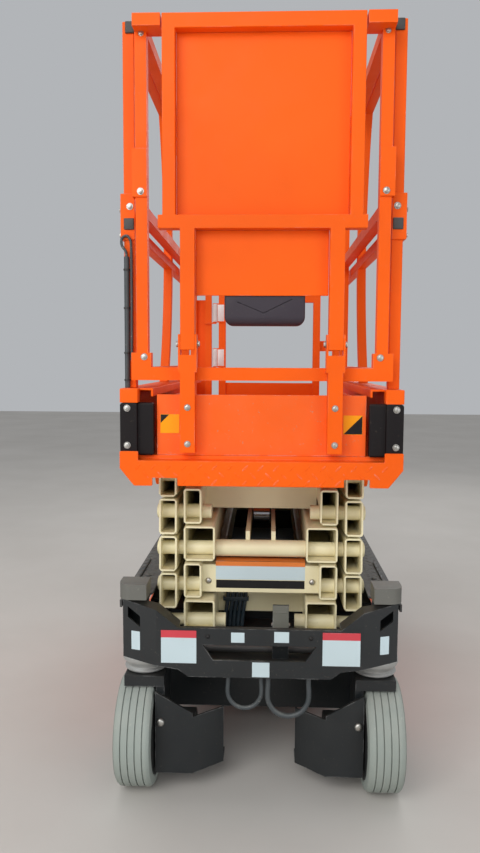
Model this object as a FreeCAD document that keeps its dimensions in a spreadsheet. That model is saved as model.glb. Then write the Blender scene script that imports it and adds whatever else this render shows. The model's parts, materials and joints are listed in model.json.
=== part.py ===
"""Electric slab scissor lift, stowed, with its rails up.

Frame: X to the right seen from the front, Y from the steered front end to the ladder
end, Z up from the floor. The origin is on the floor, under the middle of the machine.
Lengths are in millimetres.

The machine stands on two steered front wheels and two fixed rear wheels. Four crossed
pairs of box section arms lift the platform: each inner arm rises towards the rear and
each outer arm rises towards the front. The front pins stay in one upright line, and the
rear ends run in tracks. The front deck slides out of the main platform, and its centre
frame folds back over the deck.
"""
import FreeCAD, Part

import math
import os
import re

import Sketcher

OUT = "parts"

# Name, value and meaning of each driving size
SIZES = [
    # Wheels and axles
    ("tyre_radius", 161.5, "outside radius of a tyre"),
    ("tyre_width", 104, "width of a tyre"),
    ("track_half", 405, "outer face of the tyres from the middle"),
    ("rim_radius", 130, "inside radius of a tyre"),
    ("shoulder_round", 10, "rounding of a tyre's shoulders"),
    ("front_axle_y", -713.5, "place of the steered wheels"),
    ("wheelbase", 1370, "front axle to rear axle"),
    ("stub_radius", 22, "radius of a wheel's stub axle"),
    ("run_gap", 0.06, "radial clearance of a shaft in its bore"),
    ("seat_gap", 0.3, "clearance between faces that slide or seat"),
    ("clear_gap", 5, "clearance of a moving piece from the others"),
    ("hub_radius", 52, "radius of a wheel's hub"),
    ("rim_dish", 62, "depth of a rim's dish from its outer face"),
    ("disc_thick", 8, "thickness of a rim's disc"),
    # Steering
    ("kingpin_x", 334, "kingpin from the middle"),
    ("kingpin_radius", 23, "radius of a kingpin"),
    ("ring_radius", 64, "radius of the swivel ring"),
    ("ring_low", 348, "underside of the swivel ring"),
    ("beam_low", 400, "underside of the steer beam"),
    ("beam_thick", 15, "thickness of the steer beam's plate"),
    ("beam_length", 150, "length of the steer beam along the machine"),
    ("arm_reach", 60, "kingpin to tie rod pin"),
    ("tie_z", 442, "height of the tie rod"),
    ("tie_radius", 11, "radius of the tie rod"),
    ("tie_eye", 15, "radius of the eyes of the steering"),
    ("steer_arm_thick", 12, "thickness of a steer arm"),
    ("steer_arm_wide", 16, "width of a steer arm"),
    ("motor_radius", 56, "radius of a drive motor"),
    ("motor_inner_x", 188, "inner end of a drive motor from the middle"),
    ("guard_face_x", 189, "inner edge of a motor guard's face from the middle"),
    ("guard_fold_x", 105, "inner end of a motor guard from the middle"),
    ("guard_fold_deep", 70, "how far a motor guard's inner plate folds back"),
    ("guard_low", 68, "underside of a motor guard"),
    ("guard_high", 307, "top of a motor guard beside the wheel"),
    ("guard_face_high", 246, "top of a motor guard's face at its inner edge"),
    ("guard_fold_high", 235, "top of a motor guard's inner plate"),
    ("guard_front", 86, "kingpin to the front face of a motor guard"),
    ("guard_back", 50, "kingpin to the rear edge of a motor guard"),
    ("guard_sheet", 8, "sheet thickness of a motor guard"),
    ("plate_lip", 31, "height of the front lip of the plate over a tyre"),
    # Chassis
    ("nose_y", -880, "front face of the chassis"),
    ("nose_depth", 58, "depth of the nose's flanges"),
    ("wing_y", -850, "where the nose's wings meet its sides"),
    ("wing_x", 280, "where the nose bends back from the middle"),
    ("nose_low", 390, "underside of the nose in the middle"),
    ("nose_step", 410, "underside of the nose beside its middle"),
    ("nose_bend_low", 419, "underside of the nose at its bends"),
    ("nose_wing_low", 432, "underside of the nose at its sides"),
    ("nose_mid", 526, "top of the nose in the middle"),
    ("nose_shoulder", 574, "top of the nose at its shoulders"),
    ("nose_high", 594, "top of the nose at its corners"),
    ("nose_half", 375, "half width of the nose"),
    ("nose_flat", 220, "half width of the nose's low top"),
    ("nose_low_half", 193, "half width of the nose's lowest edge"),
    ("shoulder_x", 279, "shoulder of the nose from the middle"),
    ("beam_front_y", -790, "front of the steer beam"),
    ("bracket_left", 36, "left side of the upright bracket behind the nose"),
    ("bracket_right", 81, "right side of the upright bracket behind the nose"),
    ("bracket_high", 568, "top of the upright bracket behind the nose"),
    ("slot_low", 438, "lower edge of the nose's slot"),
    ("slot_high", 480, "upper edge of the nose's slot"),
    ("slot_low_half", 125, "half width of the slot's lower edge"),
    ("slot_high_half", 153, "half width of the slot's upper edge"),
    ("window_low", 521, "lower inner corner of a corner window"),
    ("window_high", 551, "upper inner corner of a corner window"),
    ("window_rise", 24, "rise of a corner window to its outer edge"),
    ("window_in", 325, "inner edge of a corner window from the middle"),
    ("window_out", 361, "outer edge of a corner window from the middle"),
    ("plate", 8, "thickness of the chassis plates"),
    ("heavy_plate", 12, "thickness of ears and lugs"),
    ("spine_half", 148, "outer face of the chassis spine from the middle"),
    ("floor_low", 120, "underside of the chassis floor"),
    ("track_top", 467, "running face of the lower slide tracks"),
    ("track_thick", 26, "thickness of the lower slide tracks"),
    ("bulkhead_y", -488, "front face of the front bulkhead"),
    ("rear_bulkhead_y", 470, "front face of the rear bulkhead"),
    ("bulkhead_half", 330, "half width of the bulkheads"),
    ("tail_y", 850, "rear face of the chassis"),
    ("tail_low", 250, "underside of the rear plate"),
    ("tail_inset", 35, "edge of the rear plate from the outer face of the tyres"),
    ("cover_in", 303, "inner edge of a side cover from the middle"),
    ("cover_wide", 64, "side cover beyond the slide track"),
    ("cover_top", 592, "top of a side cover at its inner edge"),
    ("cover_drop", 16, "fall of a side cover to its outer edge"),
    ("cover_low", 548, "lower edge of a side cover's skirt"),
    ("cover_sheet", 6, "thickness of a side cover"),
    ("skirt_low", 462, "lower edge of the front skirts"),
    ("skirt_end_y", -400, "rear end of the front skirts"),
    ("cap_in", 308, "inner edge of a corner cap from the middle"),
    ("cap_high", 637, "top of a corner cap"),
    ("cap_front_y", -862, "front of a corner cap"),
    ("cap_back_y", -785, "rear of a corner cap"),
    ("cap_inset", 11, "corner cap inside the side cover's outer face"),
    ("cap_round", 34, "radius of a corner cap's outer corner"),
    ("ladder_end_y", 915, "rear face of the ladder"),
    ("ladder_half", 210, "half width of the ladder"),
    ("ladder_rail", 30, "width of the ladder's side rails"),
    ("ladder_low", 260, "lowest step of the ladder"),
    ("ladder_high", 896, "top of the ladder's side rails"),
    ("step_rise", 150, "rise between the ladder's steps"),
    ("step_thick", 26, "thickness of a step"),
    ("axle_gap", 13, "rear tyres beyond the axle box"),
    ("axle_box_side", 90, "height and width of the rear axle box"),
    ("tie_down_x", 318, "tie down eyes from the middle"),
    ("tie_down_z", 300, "height of the tie down eyes"),
    ("tie_down_radius", 16, "radius of the tie down eyes"),
    # Swing out trays
    ("tray_hinge_in", 6, "tray hinge inside the door's outer face"),
    ("tray_hinge_y", -492, "place of the tray hinges"),
    ("tray_pin", 8, "radius of a tray's hinge pin"),
    ("door_inset", 13, "tray door inside the side cover's outer face"),
    ("door_sheet", 7, "sheet thickness of a tray door"),
    ("door_front_y", -508, "front edge of a tray door"),
    ("door_rear_y", 452, "rear edge of a tray door"),
    ("door_low", 138, "lower edge of a tray door"),
    ("door_bend", 428, "height where a tray door bends in"),
    ("door_high", 458, "upper edge of a tray door"),
    ("door_lean", 22, "inward lean of a tray door's top"),
    ("tray_in", 162, "inner edge of a tray from the middle"),
    ("tray_front_y", -470, "front edge of a tray"),
    ("tray_rear_y", 430, "rear edge of a tray"),
    ("tray_lip", 30, "height of a tray's lip"),
    ("load_high", 414, "top of what the trays carry"),
    ("load_gap", 10, "margin round what the trays carry"),
    # Guards against holes in the floor
    ("hole_guard_x", 338, "pivot of a floor guard from the middle"),
    ("hole_guard_wide", 74, "width of a floor guard"),
    ("hole_guard_thick", 10, "thickness of a floor guard"),
    ("hole_guard_z", 112, "height of a floor guard's pivot"),
    ("hole_guard_front_y", -450, "front end of a floor guard"),
    ("hole_guard_rear_y", 450, "rear end of a floor guard"),
    ("hole_guard_pin", 7, "radius of a floor guard's pivot rod"),
    # Scissor stack
    ("arm_span", 1480, "pin to pin length of an arm"),
    ("level_rise", 107, "rise of one level when stowed"),
    ("pin_low_z", 492, "height of the lowest front pin"),
    ("pin_front_y", -715, "place of the upright line of front pins"),
    ("inner_drop", 25, "end pins of an inner arm off its middle line"),
    ("outer_drop", 10, "end pins of an outer arm off its middle line"),
    ("tube_high", 100, "height of an arm's tube"),
    ("tube_wall", 5, "wall of an arm's tube"),
    ("tube_over", 50, "length of an arm beyond its end pins"),
    ("inner_face", 217, "outer face of the inner arms from the middle"),
    ("narrow_in", 167, "inner face of a narrow inner arm from the middle"),
    ("wide_in", 129, "inner face of a wide inner arm from the middle"),
    ("outer_in", 237, "inner face of the outer arms from the middle"),
    ("outer_face", 287, "outer face of the outer arms from the middle"),
    ("boss_radius", 20.5, "radius of the pin bosses"),
    ("boss_proud", 9, "bosses beyond the outer arms"),
    ("boss_stub", 4, "bosses beyond the inner face of the inner arms"),
    ("foot_boss_in", 100, "inner end of the front pivots' bosses from the middle"),
    ("front_boss_in", 141, "inner end of the other front bosses from the middle"),
    ("pin_radius", 14, "radius of the pins"),
    ("pin_proud", 2, "pins beyond their bosses"),
    ("foot_radius", 17, "radius of the front pivot pins"),
    ("ear_in", 289, "inner face of the pivot ears from the middle"),
    ("ear_radius", 30, "radius of the pivot ears"),
    ("cross_radius", 24, "radius of the cross tubes"),
    ("tie_plate_thick", 8, "thickness of the cross plates"),
    ("tie_plate_y", 115, "cross plates behind the front pins"),
    ("box_member_low", -42, "label box below the arm's middle line"),
    ("box_member_high", 39, "label box above the arm's middle line"),
    ("box_member_front", 20, "label box ahead of the front pins"),
    ("box_member_deep", 45, "depth of the label box"),
    ("hose_radius", 6, "radius of a lift hose"),
    ("hose_pitch", 13, "distance between lift hoses"),
    ("hose_first", -101, "first lift hose from the middle"),
    ("hose_low", -86, "lower end of the lift hoses below the arm's middle line"),
    ("hose_clip", 3, "thickness of the clip over the lift hoses"),
    ("gland_radius", 10, "radius of the glands over the hanging cables"),
    ("gland_high", 8, "height of the glands over the hanging cables"),
    ("rear_tie_y", 44, "rear cross tubes ahead of the rear pins"),
    ("shoe_in", 294, "inner face of the slide shoes from the middle"),
    ("shoe_wide", 28, "width of a slide shoe"),
    ("shoe_long", 70, "length of a slide shoe"),
    ("shoe_high", 50, "height of a slide shoe"),
    ("lip_back", 8, "lips of the slide channels behind the shoes' inner face"),
    ("channel_web", 6, "web and lips of the slide channels"),
    # Lift cylinder
    ("base_y", 599, "cylinder base behind the first arm's middle"),
    ("eye_y", -420, "rod eye ahead of the third arm's middle"),
    ("barrel_radius", 45, "radius of the cylinder barrel"),
    ("rod_out", 198, "barrel's mouth to the rod's eye when stowed"),
    ("barrel_base", 35, "base eye to the end of the barrel's bore"),
    ("rod_radius", 25, "radius of the rod"),
    ("rod_start", 40, "base eye to the rod's inner end"),
    ("base_eye", 38, "radius of the base eye"),
    ("eye_radius", 34, "radius of the rod eye"),
    ("eye_half", 26, "half width of the cylinder's eyes"),
    ("lug_thick", 12, "thickness of the rod's lug plates"),
    ("lug_high", 50, "height of the rod's lug plates"),
    ("lug_rear_y", -266, "rear end of the lug plates on the third arm"),
    ("lug_tube_z", 22, "height of the lug plates' rear tube"),
    ("lug_tube_radius", 20, "radius of the lug plates' rear tube"),
    # Platform
    ("deck_top", 996, "top of the main deck"),
    ("deck_thick", 6, "thickness of the main deck"),
    ("deck_half", 355, "half width of the main deck"),
    ("front_y", -915, "front face of the platform"),
    ("deck_front_y", -870, "front edge of the main deck"),
    ("deck_rear_y", 830, "rear edge of the main deck"),
    ("apron_thick", 8, "thickness of the apron"),
    ("apron_half", 367, "half width of the apron"),
    ("apron_low_half", 330, "half width of the apron's lower edge"),
    ("apron_low", 919, "lower edge of the apron"),
    ("apron_bend", 965, "height where the apron narrows"),
    ("apron_high", 985, "upper edge of the apron"),
    ("tab_high", 1009, "top of the apron's raised corners"),
    ("tab_in", 319, "inner edge of the apron's raised corners"),
    ("notch_in", 216, "inner edge of the apron's notches"),
    ("notch_out", 282, "outer edge of the apron's notches"),
    ("notch_high", 940, "top of the apron's notches"),
    ("side_low", 966, "lower edge of the side panels"),
    ("side_high", 1172, "upper edge of the side panels"),
    ("side_face", 365, "outer face of the side panels from the middle"),
    ("side_sheet", 6, "thickness of the side panels"),
    ("block_in", 320, "inner edge of the corner blocks"),
    ("block_low", 1135, "underside of the corner blocks"),
    ("corner_in", 281, "inner edge of the black corner covers"),
    ("corner_step_x", 322, "step in the black corner covers from the middle"),
    ("corner_step", 12, "depth of the step in the black corner covers"),
    ("corner_deep", 42, "depth of the black corner covers"),
    ("channel_in", 285, "inner face of the side panels' top channel from the middle"),
    ("channel_drop", 22, "height of the top channel's inner lip"),
    ("channel_end_y", 560, "rear end of the side panels' top channel"),
    ("toe_high", 1140, "top of the rear toe boards"),
    # Main rails
    ("rail", 30, "width of the rail tubes"),
    ("rail_in", 335, "inner face of the side rails from the middle"),
    ("rail_top", 2112, "top of the side rails"),
    ("mid_rail_top", 1606, "top of the middle rails"),
    ("front_post_y", -840, "front face of the front posts"),
    ("rear_post_y", 800, "front face of the rear posts"),
    ("bow_y", -95, "rearmost place of the bowed posts' middle line"),
    ("bow_deep", 118, "bow of the bowed posts"),
    ("sleeve_low", 1561, "lower end of the fold sleeves"),
    ("sleeve_high", 1679, "upper end of the fold sleeves"),
    ("sleeve_wall", 5, "wall of the fold sleeves"),
    ("sleeve_out", 8, "fold sleeves beyond the outer side of their posts"),
    # Rear end and gate
    ("infill_edge", -262, "inner edge of the rear infill panel"),
    ("infill_high", 1543, "top of the rear infill panel"),
    ("gate_hinge_x", -243, "gate hinge from the middle"),
    ("gate_hinge_y", 790, "place of the gate hinge"),
    ("gate_out", 272, "free edge of the gate"),
    ("gate_low", 1012, "lower edge of the gate"),
    ("gate_high", 2060, "top of the gate"),
    ("gate_tube", 34, "width of the gate's tubes"),
    ("gate_mid", 1547, "height of the gate's middle rail"),
    ("stop_low", 1296, "lower edge of the gate's stop"),
    ("stop_high", 1346, "upper edge of the gate's stop"),
    ("hinge_pin", 6, "radius of the gate's hinge pins"),
    ("hinge_barrel", 12, "radius of the gate's hinge barrels"),
    ("hinge_long", 98, "length of a gate hinge"),
    ("hinge_low", 1210, "lower gate hinge"),
    ("hinge_high", 1426, "upper gate hinge"),
    # Extension deck
    ("slide_thick", 5, "thickness of the extension deck"),
    ("slide_half", 274, "half width of the extension deck"),
    ("slide_rear_y", 130, "rear end of the extension"),
    ("slide_edge_high", 1140, "top of the extension deck's side edges"),
    ("toe_board_high", 1156, "top of the front toe board"),
    ("toe_board_thick", 5, "thickness of the front toe board"),
    ("centre_post_x", 190, "centre posts from the middle"),
    ("centre_post_wide", 38, "width of the centre posts"),
    ("centre_post_deep", 35, "depth of the centre posts"),
    ("centre_post_front_y", -913, "front face of the centre posts"),
    ("lower_post_top", 1259, "top of the fixed part of the centre posts"),
    ("fold_z", 1287, "fold pivot of the centre frame"),
    ("fold_foot", 15, "centre frame's posts below their pivot"),
    ("fold_bolt", 6, "radius of the fold bolts"),
    ("fold_plate", 5, "thickness of the fold plates"),
    ("fold_plate_low", 1215, "lower end of the fold plates"),
    ("fold_plate_high", 1312, "upper end of the fold plates"),
    ("cross_low", 1193, "underside of the front cross rail"),
    ("cross_high", 1227, "top of the front cross rail"),
    ("cross_half", 341, "half width of the front cross rail"),
    ("socket_high", 1265, "top of the outer post sockets"),
    ("socket_in", 289, "inner face of the outer post sockets"),
    ("slide_rail_in", 297, "inner face of the extension's side rails"),
    ("slide_rail_top", 2096, "top of the extension's side rails"),
    ("slide_mid_top", 1640, "top of the extension's middle rails"),
    ("fold_sleeve_low", 1663, "lower end of the extension's sleeves"),
    ("fold_sleeve_high", 1784, "upper end of the extension's sleeves"),
    ("corner_piece_in", 257, "inner end of the top rail's corner pieces"),
    ("top_rail_high", 2100, "top of the front top rail"),
    ("top_rail_deep", 36, "height of the front top rail"),
    # Folding centre frame
    ("frame_rail_low", 1578, "underside of the centre frame's middle rail"),
    ("frame_rail_high", 1612, "top of the centre frame's middle rail"),
    ("frame_rail_half", 265, "half width of the centre frame's middle rail"),
    ("frame_post_in", 220, "inner face of the centre frame's posts"),
    ("frame_post_out", 253, "outer face of the centre frame's posts"),
    ("panel_thick", 5, "thickness of the infill panels"),
    ("panel_set_back", 30, "infill panels behind the posts' front face"),
    ("low_panel_low", 1412, "lower edge of the lower infill panel"),
    ("hank_radius", 7, "radius of the tube tied to the left front post"),
    ("hank_high", 1516, "top of the tube tied to the left front post"),
    ("hank_in", 1, "tied tube inside the post's outer face"),
    ("case_left", -97, "left side of the document case"),
    ("case_right", 112, "right side of the document case"),
    ("case_low", 1336, "underside of the document case"),
    ("case_high", 1430, "top of the document case"),
    ("case_deep", 60, "depth of the document case"),
]

doc = FreeCAD.newDocument("ScissorLift")
sheet = doc.addObject("Spreadsheet::Sheet", "Sizes")
for row, (alias, value, meaning) in enumerate(SIZES, start=1):
    sheet.set(f"A{row}", meaning)
    sheet.set(f"B{row}", str(value))
    sheet.setAlias(f"B{row}", alias)
doc.recompute()
ALIASES = {alias for alias, value, meaning in SIZES}
X_AXIS = FreeCAD.Vector(1, 0, 0)
TURNS = {
    "x": FreeCAD.Rotation(FreeCAD.Vector(0, 1, 0), 90),
    "y": FreeCAD.Rotation(FreeCAD.Vector(1, 0, 0), -90),
    "z": FreeCAD.Rotation(),
}
# Which way a pad on each plane grows: along X, against Y, along Z
ARC_SHARE = 0.45
HOSE_COUNT = 5
PLANES = {"x": "YZ_Plane", "y": "XZ_Plane", "z": "XY_Plane"}
nodes = {}


def formula(text):
    """Names of sizes in a formula become references to the sheet."""
    def cell(match):
        word = match.group(0)
        return "Sizes." + word if word in ALIASES else word

    return re.sub(r"[a-z_]+", cell, str(text))


def bind(thing, **formulas):
    for name, text in formulas.items():
        thing.setExpression(name.replace("__", "."), formula(text))


def place(thing, x="0", y="0", z="0"):
    bind(thing, Placement__Base__x=x, Placement__Base__y=y, Placement__Base__z=z)


def block(name, x, y, z):
    """A box between two planes along each axis."""
    made = doc.addObject("Part::Box", name)
    bind(
        made,
        Length=f"({x[1]}) - ({x[0]})",
        Width=f"({y[1]}) - ({y[0]})",
        Height=f"({z[1]}) - ({z[0]})",
    )
    place(made, x[0], y[0], z[0])
    return made


def rod(name, axis, along, at, radius):
    """A round bar: along is its two ends, at is its place across the axis."""
    made = doc.addObject("Part::Cylinder", name)
    made.Placement = FreeCAD.Placement(FreeCAD.Vector(), TURNS[axis])
    bind(made, Radius=radius, Height=f"({along[1]}) - ({along[0]})")
    if axis == "x":
        place(made, along[0], at[0], at[1])
    elif axis == "y":
        place(made, at[0], along[0], at[1])
    else:
        place(made, at[0], at[1], along[0])
    return made


def fuse(name, pieces):
    made = doc.addObject("Part::MultiFuse", name)
    made.Shapes = pieces
    made.Refine = True
    return made


def cut(name, base, tools):
    made = doc.addObject("Part::Cut", name)
    made.Base = base
    made.Tool = tools[0] if len(tools) == 1 else fuse(name + "Tools", tools)
    return made


def common(name, first, second):
    made = doc.addObject("Part::Common", name)
    made.Base = first
    made.Tool = second
    return made


def mirror(name, source):
    """The same piece on the other side of the machine."""
    made = doc.addObject("Part::Mirroring", name)
    made.Source = source
    made.Normal = X_AXIS
    return made


def both_sides(name, piece):
    return fuse(name, [piece, mirror(name + "Other", piece)])


def outline_sketch(body, name, plane, points):
    """A closed outline whose corners are formulas, on one of the body's own planes."""
    sketch = body.newObject("Sketcher::SketchObject", name)
    role = PLANES[plane]
    origin_plane = [f for f in body.Origin.OriginFeatures if f.Role == role][0]
    sketch.AttachmentSupport = [(origin_plane, "")]
    sketch.MapMode = "FlatFace"
    count = len(points)
    for i in range(count):
        turn = 2 * math.pi * i / count
        after = 2 * math.pi * (i + 1) / count
        sketch.addGeometry(Part.LineSegment(
            FreeCAD.Vector(math.cos(turn), math.sin(turn), 0),
            FreeCAD.Vector(math.cos(after), math.sin(after), 0),
        ))
    for i in range(count):
        sketch.addConstraint(Sketcher.Constraint("Coincident", i, 2, (i + 1) % count, 1))
    for i, (across, up) in enumerate(points):
        for kind, text in (("DistanceX", across), ("DistanceY", up)):
            number = sketch.addConstraint(Sketcher.Constraint(kind, i, 1, 1.0))
            sketch.setExpression(f"Constraints[{number}]", formula(text))
    return sketch


def prism(name, axis, along, points):
    """A flat outline given depth: along is its two ends on the axis."""
    body = doc.addObject("PartDesign::Body", name)
    sketch = outline_sketch(body, name + "Outline", axis, points)
    pad = body.newObject("PartDesign::Pad", name + "Pad")
    pad.Profile = sketch
    bind(pad, Length=f"({along[1]}) - ({along[0]})")
    if axis == "x":
        place(body, x=along[0])
    elif axis == "y":
        place(body, y=along[1])
    else:
        place(body, z=along[0])
    return body


def turned(name, points):
    """An outline of places along X and radii, turned about the X axis."""
    body = doc.addObject("PartDesign::Body", name)
    sketch = outline_sketch(body, name + "Outline", "z", points)
    spin = body.newObject("PartDesign::Revolution", name + "Spin")
    spin.Profile = sketch
    spin.ReferenceAxis = (sketch, ["H_Axis"])
    spin.Angle = 360
    return body


def pipe(name, points, diameter):
    """Tube of straight runs and tangent arcs through points chosen by hand."""
    route = [FreeCAD.Vector(*point) for point in points]
    edges = []
    tightest = math.inf
    start = route[0]
    for before, corner, after in zip(route, route[1:], route[2:]):
        back, ahead = before - corner, after - corner
        half_turn = (math.pi - back.getAngle(ahead)) / 2
        cut_back = ARC_SHARE * min(back.Length, ahead.Length)
        radius = cut_back / math.tan(half_turn)
        tightest = min(tightest, radius)
        first = corner + FreeCAD.Vector(back).normalize() * cut_back
        last = corner + FreeCAD.Vector(ahead).normalize() * cut_back
        inward = ((first + last) / 2 - corner).normalize()
        middle = corner + inward * (radius / math.cos(half_turn) - radius)
        edges.append(Part.LineSegment(start, first).toShape())
        edges.append(Part.Arc(first, middle, last).toShape())
        start = last
    edges.append(Part.LineSegment(start, route[-1]).toShape())
    ring = Part.Wire(Part.makeCircle(diameter / 2, route[0], route[1] - route[0]))
    thing = doc.addObject("Part::Feature", name)
    thing.Shape = Part.Wire(edges).makePipeShell([ring], True, False)
    print(f"{name}: tightest bend {tightest:.0f} mm")
    return thing


def node(name, thing):
    thing.Label = name
    nodes[name] = thing
    return thing


def sided(name, make):
    """Makes the right hand piece, and its mirror image as the left hand one."""
    right = node(name + "_right", make)
    node(name + "_left", mirror(name + "Left", right))


def minus(text):
    return f"-({text})"


# Places that several pieces share
REAR_AXLE_Y = "front_axle_y + wheelbase"
WHEEL_X = "track_half - tyre_width / 2"
TAIL_HALF = "(track_half - tail_inset)"
INNER_HALF = "sqrt((arm_span / 2)^2 - inner_drop^2)"
OUTER_HALF = "sqrt((arm_span / 2)^2 - outer_drop^2)"
REST = "asin(level_rise / arm_span)"
INNER_TILT = f"({REST} - atan(inner_drop / {INNER_HALF}))"
OUTER_TILT = f"({REST} - atan(outer_drop / {OUTER_HALF}))"
MIDDLE_Y = f"(pin_front_y + arm_span / 2 * cos({REST}))"
TOP_PIN_Z = "(pin_low_z + 4 * level_rise)"
REAR_PIN_Y = f"(pin_front_y + arm_span * cos({REST}))"
SHOE_OUT = "shoe_in + shoe_wide"
EAR_OUT = "ear_in + heavy_plate"
BEAM_BACK = "front_axle_y + beam_length / 2"
BEAM_TOP = "beam_low + beam_thick"
TRACK_LOW = "track_top - track_thick"
TRACK_OUT = f"{SHOE_OUT} + clear_gap + channel_web"
COVER_OUT = f"({TRACK_OUT} + cover_wide)"
DOOR_FACE = f"({COVER_OUT} - door_inset)"
TRAY_HINGE_X = f"({DOOR_FACE} - tray_hinge_in)"
TYRE_IN = f"({WHEEL_X} - tyre_width / 2)"
AXLE_HALF = f"({TYRE_IN} - axle_gap)"
REAR_WALL_BACK = "rear_bulkhead_y + plate"


def level_middle(level):
    return f"(pin_low_z + {2 * level - 1} * level_rise / 2)"


# Wheels
def wheel_outlines(name):
    """A solid tyre and its deep dished rim, with the dish facing out."""
    half = "tyre_width / 2"
    tyre = turned(name + "Tyre", [
        (minus(half), "rim_radius"),
        (minus(half), "tyre_radius - shoulder_round"),
        (f"shoulder_round - {half}", "tyre_radius"),
        (f"{half} - shoulder_round", "tyre_radius"),
        (half, "tyre_radius - shoulder_round"),
        (half, "rim_radius"),
    ])
    disc = f"{half} - rim_dish"
    rim = turned(name + "Rim", [
        (minus(half), "stub_radius + run_gap"),
        (minus(half), "rim_radius"),
        (half, "rim_radius"),
        (half, "rim_radius - disc_thick"),
        (disc, "rim_radius - 2 * disc_thick"),
        (disc, "hub_radius"),
        (f"{disc} + 3 * disc_thick", "hub_radius"),
        (f"{disc} + 3 * disc_thick", "stub_radius + run_gap"),
    ])
    return (("tyre", tyre), ("rim", rim))


for axle_name, axle_y in (("front", "front_axle_y"), ("rear", REAR_AXLE_Y)):
    for kind, piece in wheel_outlines(axle_name):
        place(piece, WHEEL_X, axle_y, "tyre_radius")
        node(f"{kind}_{axle_name}_right", piece)
        node(f"{kind}_{axle_name}_left", mirror(piece.Name + "Other", piece))


# Steering
def knuckle():
    """Kingpin, plate over the tyre, motor and stub axle of the right front wheel."""
    top = "ring_low - seat_gap"
    wall_out = f"{TYRE_IN} - clear_gap"
    plate = block(
        "KnucklePlate",
        (f"({wall_out}) - 2 * heavy_plate", "kingpin_x + ring_radius - heavy_plate"),
        ("front_axle_y - ring_radius", "front_axle_y + ring_radius"),
        ("tyre_radius * 2 + clear_gap", top),
    )
    wall = block(
        "KnuckleWall",
        (f"({wall_out}) - 2 * heavy_plate", wall_out),
        ("front_axle_y - ring_radius", "front_axle_y + ring_radius"),
        ("tyre_radius - motor_radius", top),
    )
    lip = block("KnuckleLip", (f"{wall_out} - 2 * heavy_plate", "kingpin_x + ring_radius - heavy_plate"),
                ("front_axle_y - ring_radius - plate", "front_axle_y - ring_radius"),
                (f"{top} - plate_lip", top))
    motor = rod("Motor", "x", ("motor_inner_x", wall_out), ("front_axle_y", "tyre_radius"),
                "motor_radius")
    stub = rod("FrontStub", "x", ("motor_inner_x", f"{WHEEL_X} + clear_gap * 4"),
               ("front_axle_y", "tyre_radius"), "stub_radius")
    kingpin = rod("Kingpin", "z", (f"{top} - heavy_plate", "tie_z + steer_arm_thick"),
                  ("kingpin_x", "front_axle_y"), "kingpin_radius")
    return fuse("Knuckle", [plate, wall, lip, motor, stub, kingpin])


def steer_arm():
    """Arm on the kingpin's head, which the tie rod's eye sits under."""
    low = "tie_z + seat_gap"
    high = "tie_z + steer_arm_thick"
    hub = rod("ArmHub", "z", (low, high), ("kingpin_x", "front_axle_y"), "kingpin_radius + clear_gap")
    bar = block(
        "ArmBar",
        ("kingpin_x - steer_arm_wide / 2", "kingpin_x + steer_arm_wide / 2"),
        ("front_axle_y - arm_reach", "front_axle_y"),
        (low, high),
    )
    end = rod("ArmEnd", "z", (low, high), ("kingpin_x", "front_axle_y - arm_reach"), "tie_eye")
    pin = rod("ArmPin", "z", ("tie_z - steer_arm_thick", high),
              ("kingpin_x", "front_axle_y - arm_reach"), "hinge_pin")
    return fuse("SteerArm", [hub, bar, end, pin])


def motor_guard():
    """Folded sheet ahead of and under the drive motor."""
    wall = f"({TYRE_IN} - clear_gap)"
    front = "(front_axle_y - guard_front)"
    back = "front_axle_y + guard_back"
    face = prism("GuardFace", "y", (front, f"{front} + guard_sheet"), [
        ("guard_face_x", "guard_low"), (wall, "guard_low"), (wall, "guard_high"),
        ("guard_face_x", "guard_face_high"),
    ])
    fold = prism("GuardFold", "z", ("guard_low", "guard_fold_high"), [
        ("guard_face_x", front), ("guard_face_x", f"{front} + guard_sheet"),
        ("guard_fold_x", f"{front} + guard_fold_deep + guard_sheet"),
        ("guard_fold_x", f"{front} + guard_fold_deep"),
    ])
    floor = prism("GuardFloor", "z", ("guard_low", "guard_low + guard_sheet"), [
        ("guard_face_x", front), (wall, front), (wall, back), ("guard_fold_x", back),
        ("guard_fold_x", f"{front} + guard_fold_deep"),
    ])
    strap = block("GuardStrap", (f"{wall} - 2 * heavy_plate", wall),
                  (front, "front_axle_y - ring_radius"),
                  ("tyre_radius - motor_radius", "guard_high - 2 * guard_sheet"))
    return fuse("Guard", [face, fold, floor, strap])


sided("knuckle", fuse("KnuckleWhole", [knuckle(), steer_arm(), motor_guard()]))

tie_y = "front_axle_y - arm_reach"
tie_centre = (tie_y, "tie_z - tie_radius - seat_gap")
tie_bar = rod("TieBar", "x", ("tie_eye / 2 - kingpin_x", "kingpin_x - tie_eye / 2"), tie_centre,
              "tie_radius - 2 * seat_gap")
tie_sleeve = rod("TieSleeve", "x", ("-spine_half", "spine_half"), tie_centre, "tie_radius")
tie_eye = rod("TieEye", "z", ("tie_z - 2 * tie_radius", "tie_z"), ("kingpin_x", tie_y), "tie_eye")
tie_hole = rod("TieHole", "z", ("tie_z - 3 * tie_radius", "tie_z + tie_radius"), ("kingpin_x", tie_y),
               "hinge_pin + run_gap")
tie_whole = fuse("TieWhole", [tie_bar, tie_sleeve, both_sides("TieEyes", tie_eye)])
node("tie_rod", cut("TieRod", tie_whole, [both_sides("TieHoles", tie_hole)]))


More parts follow.
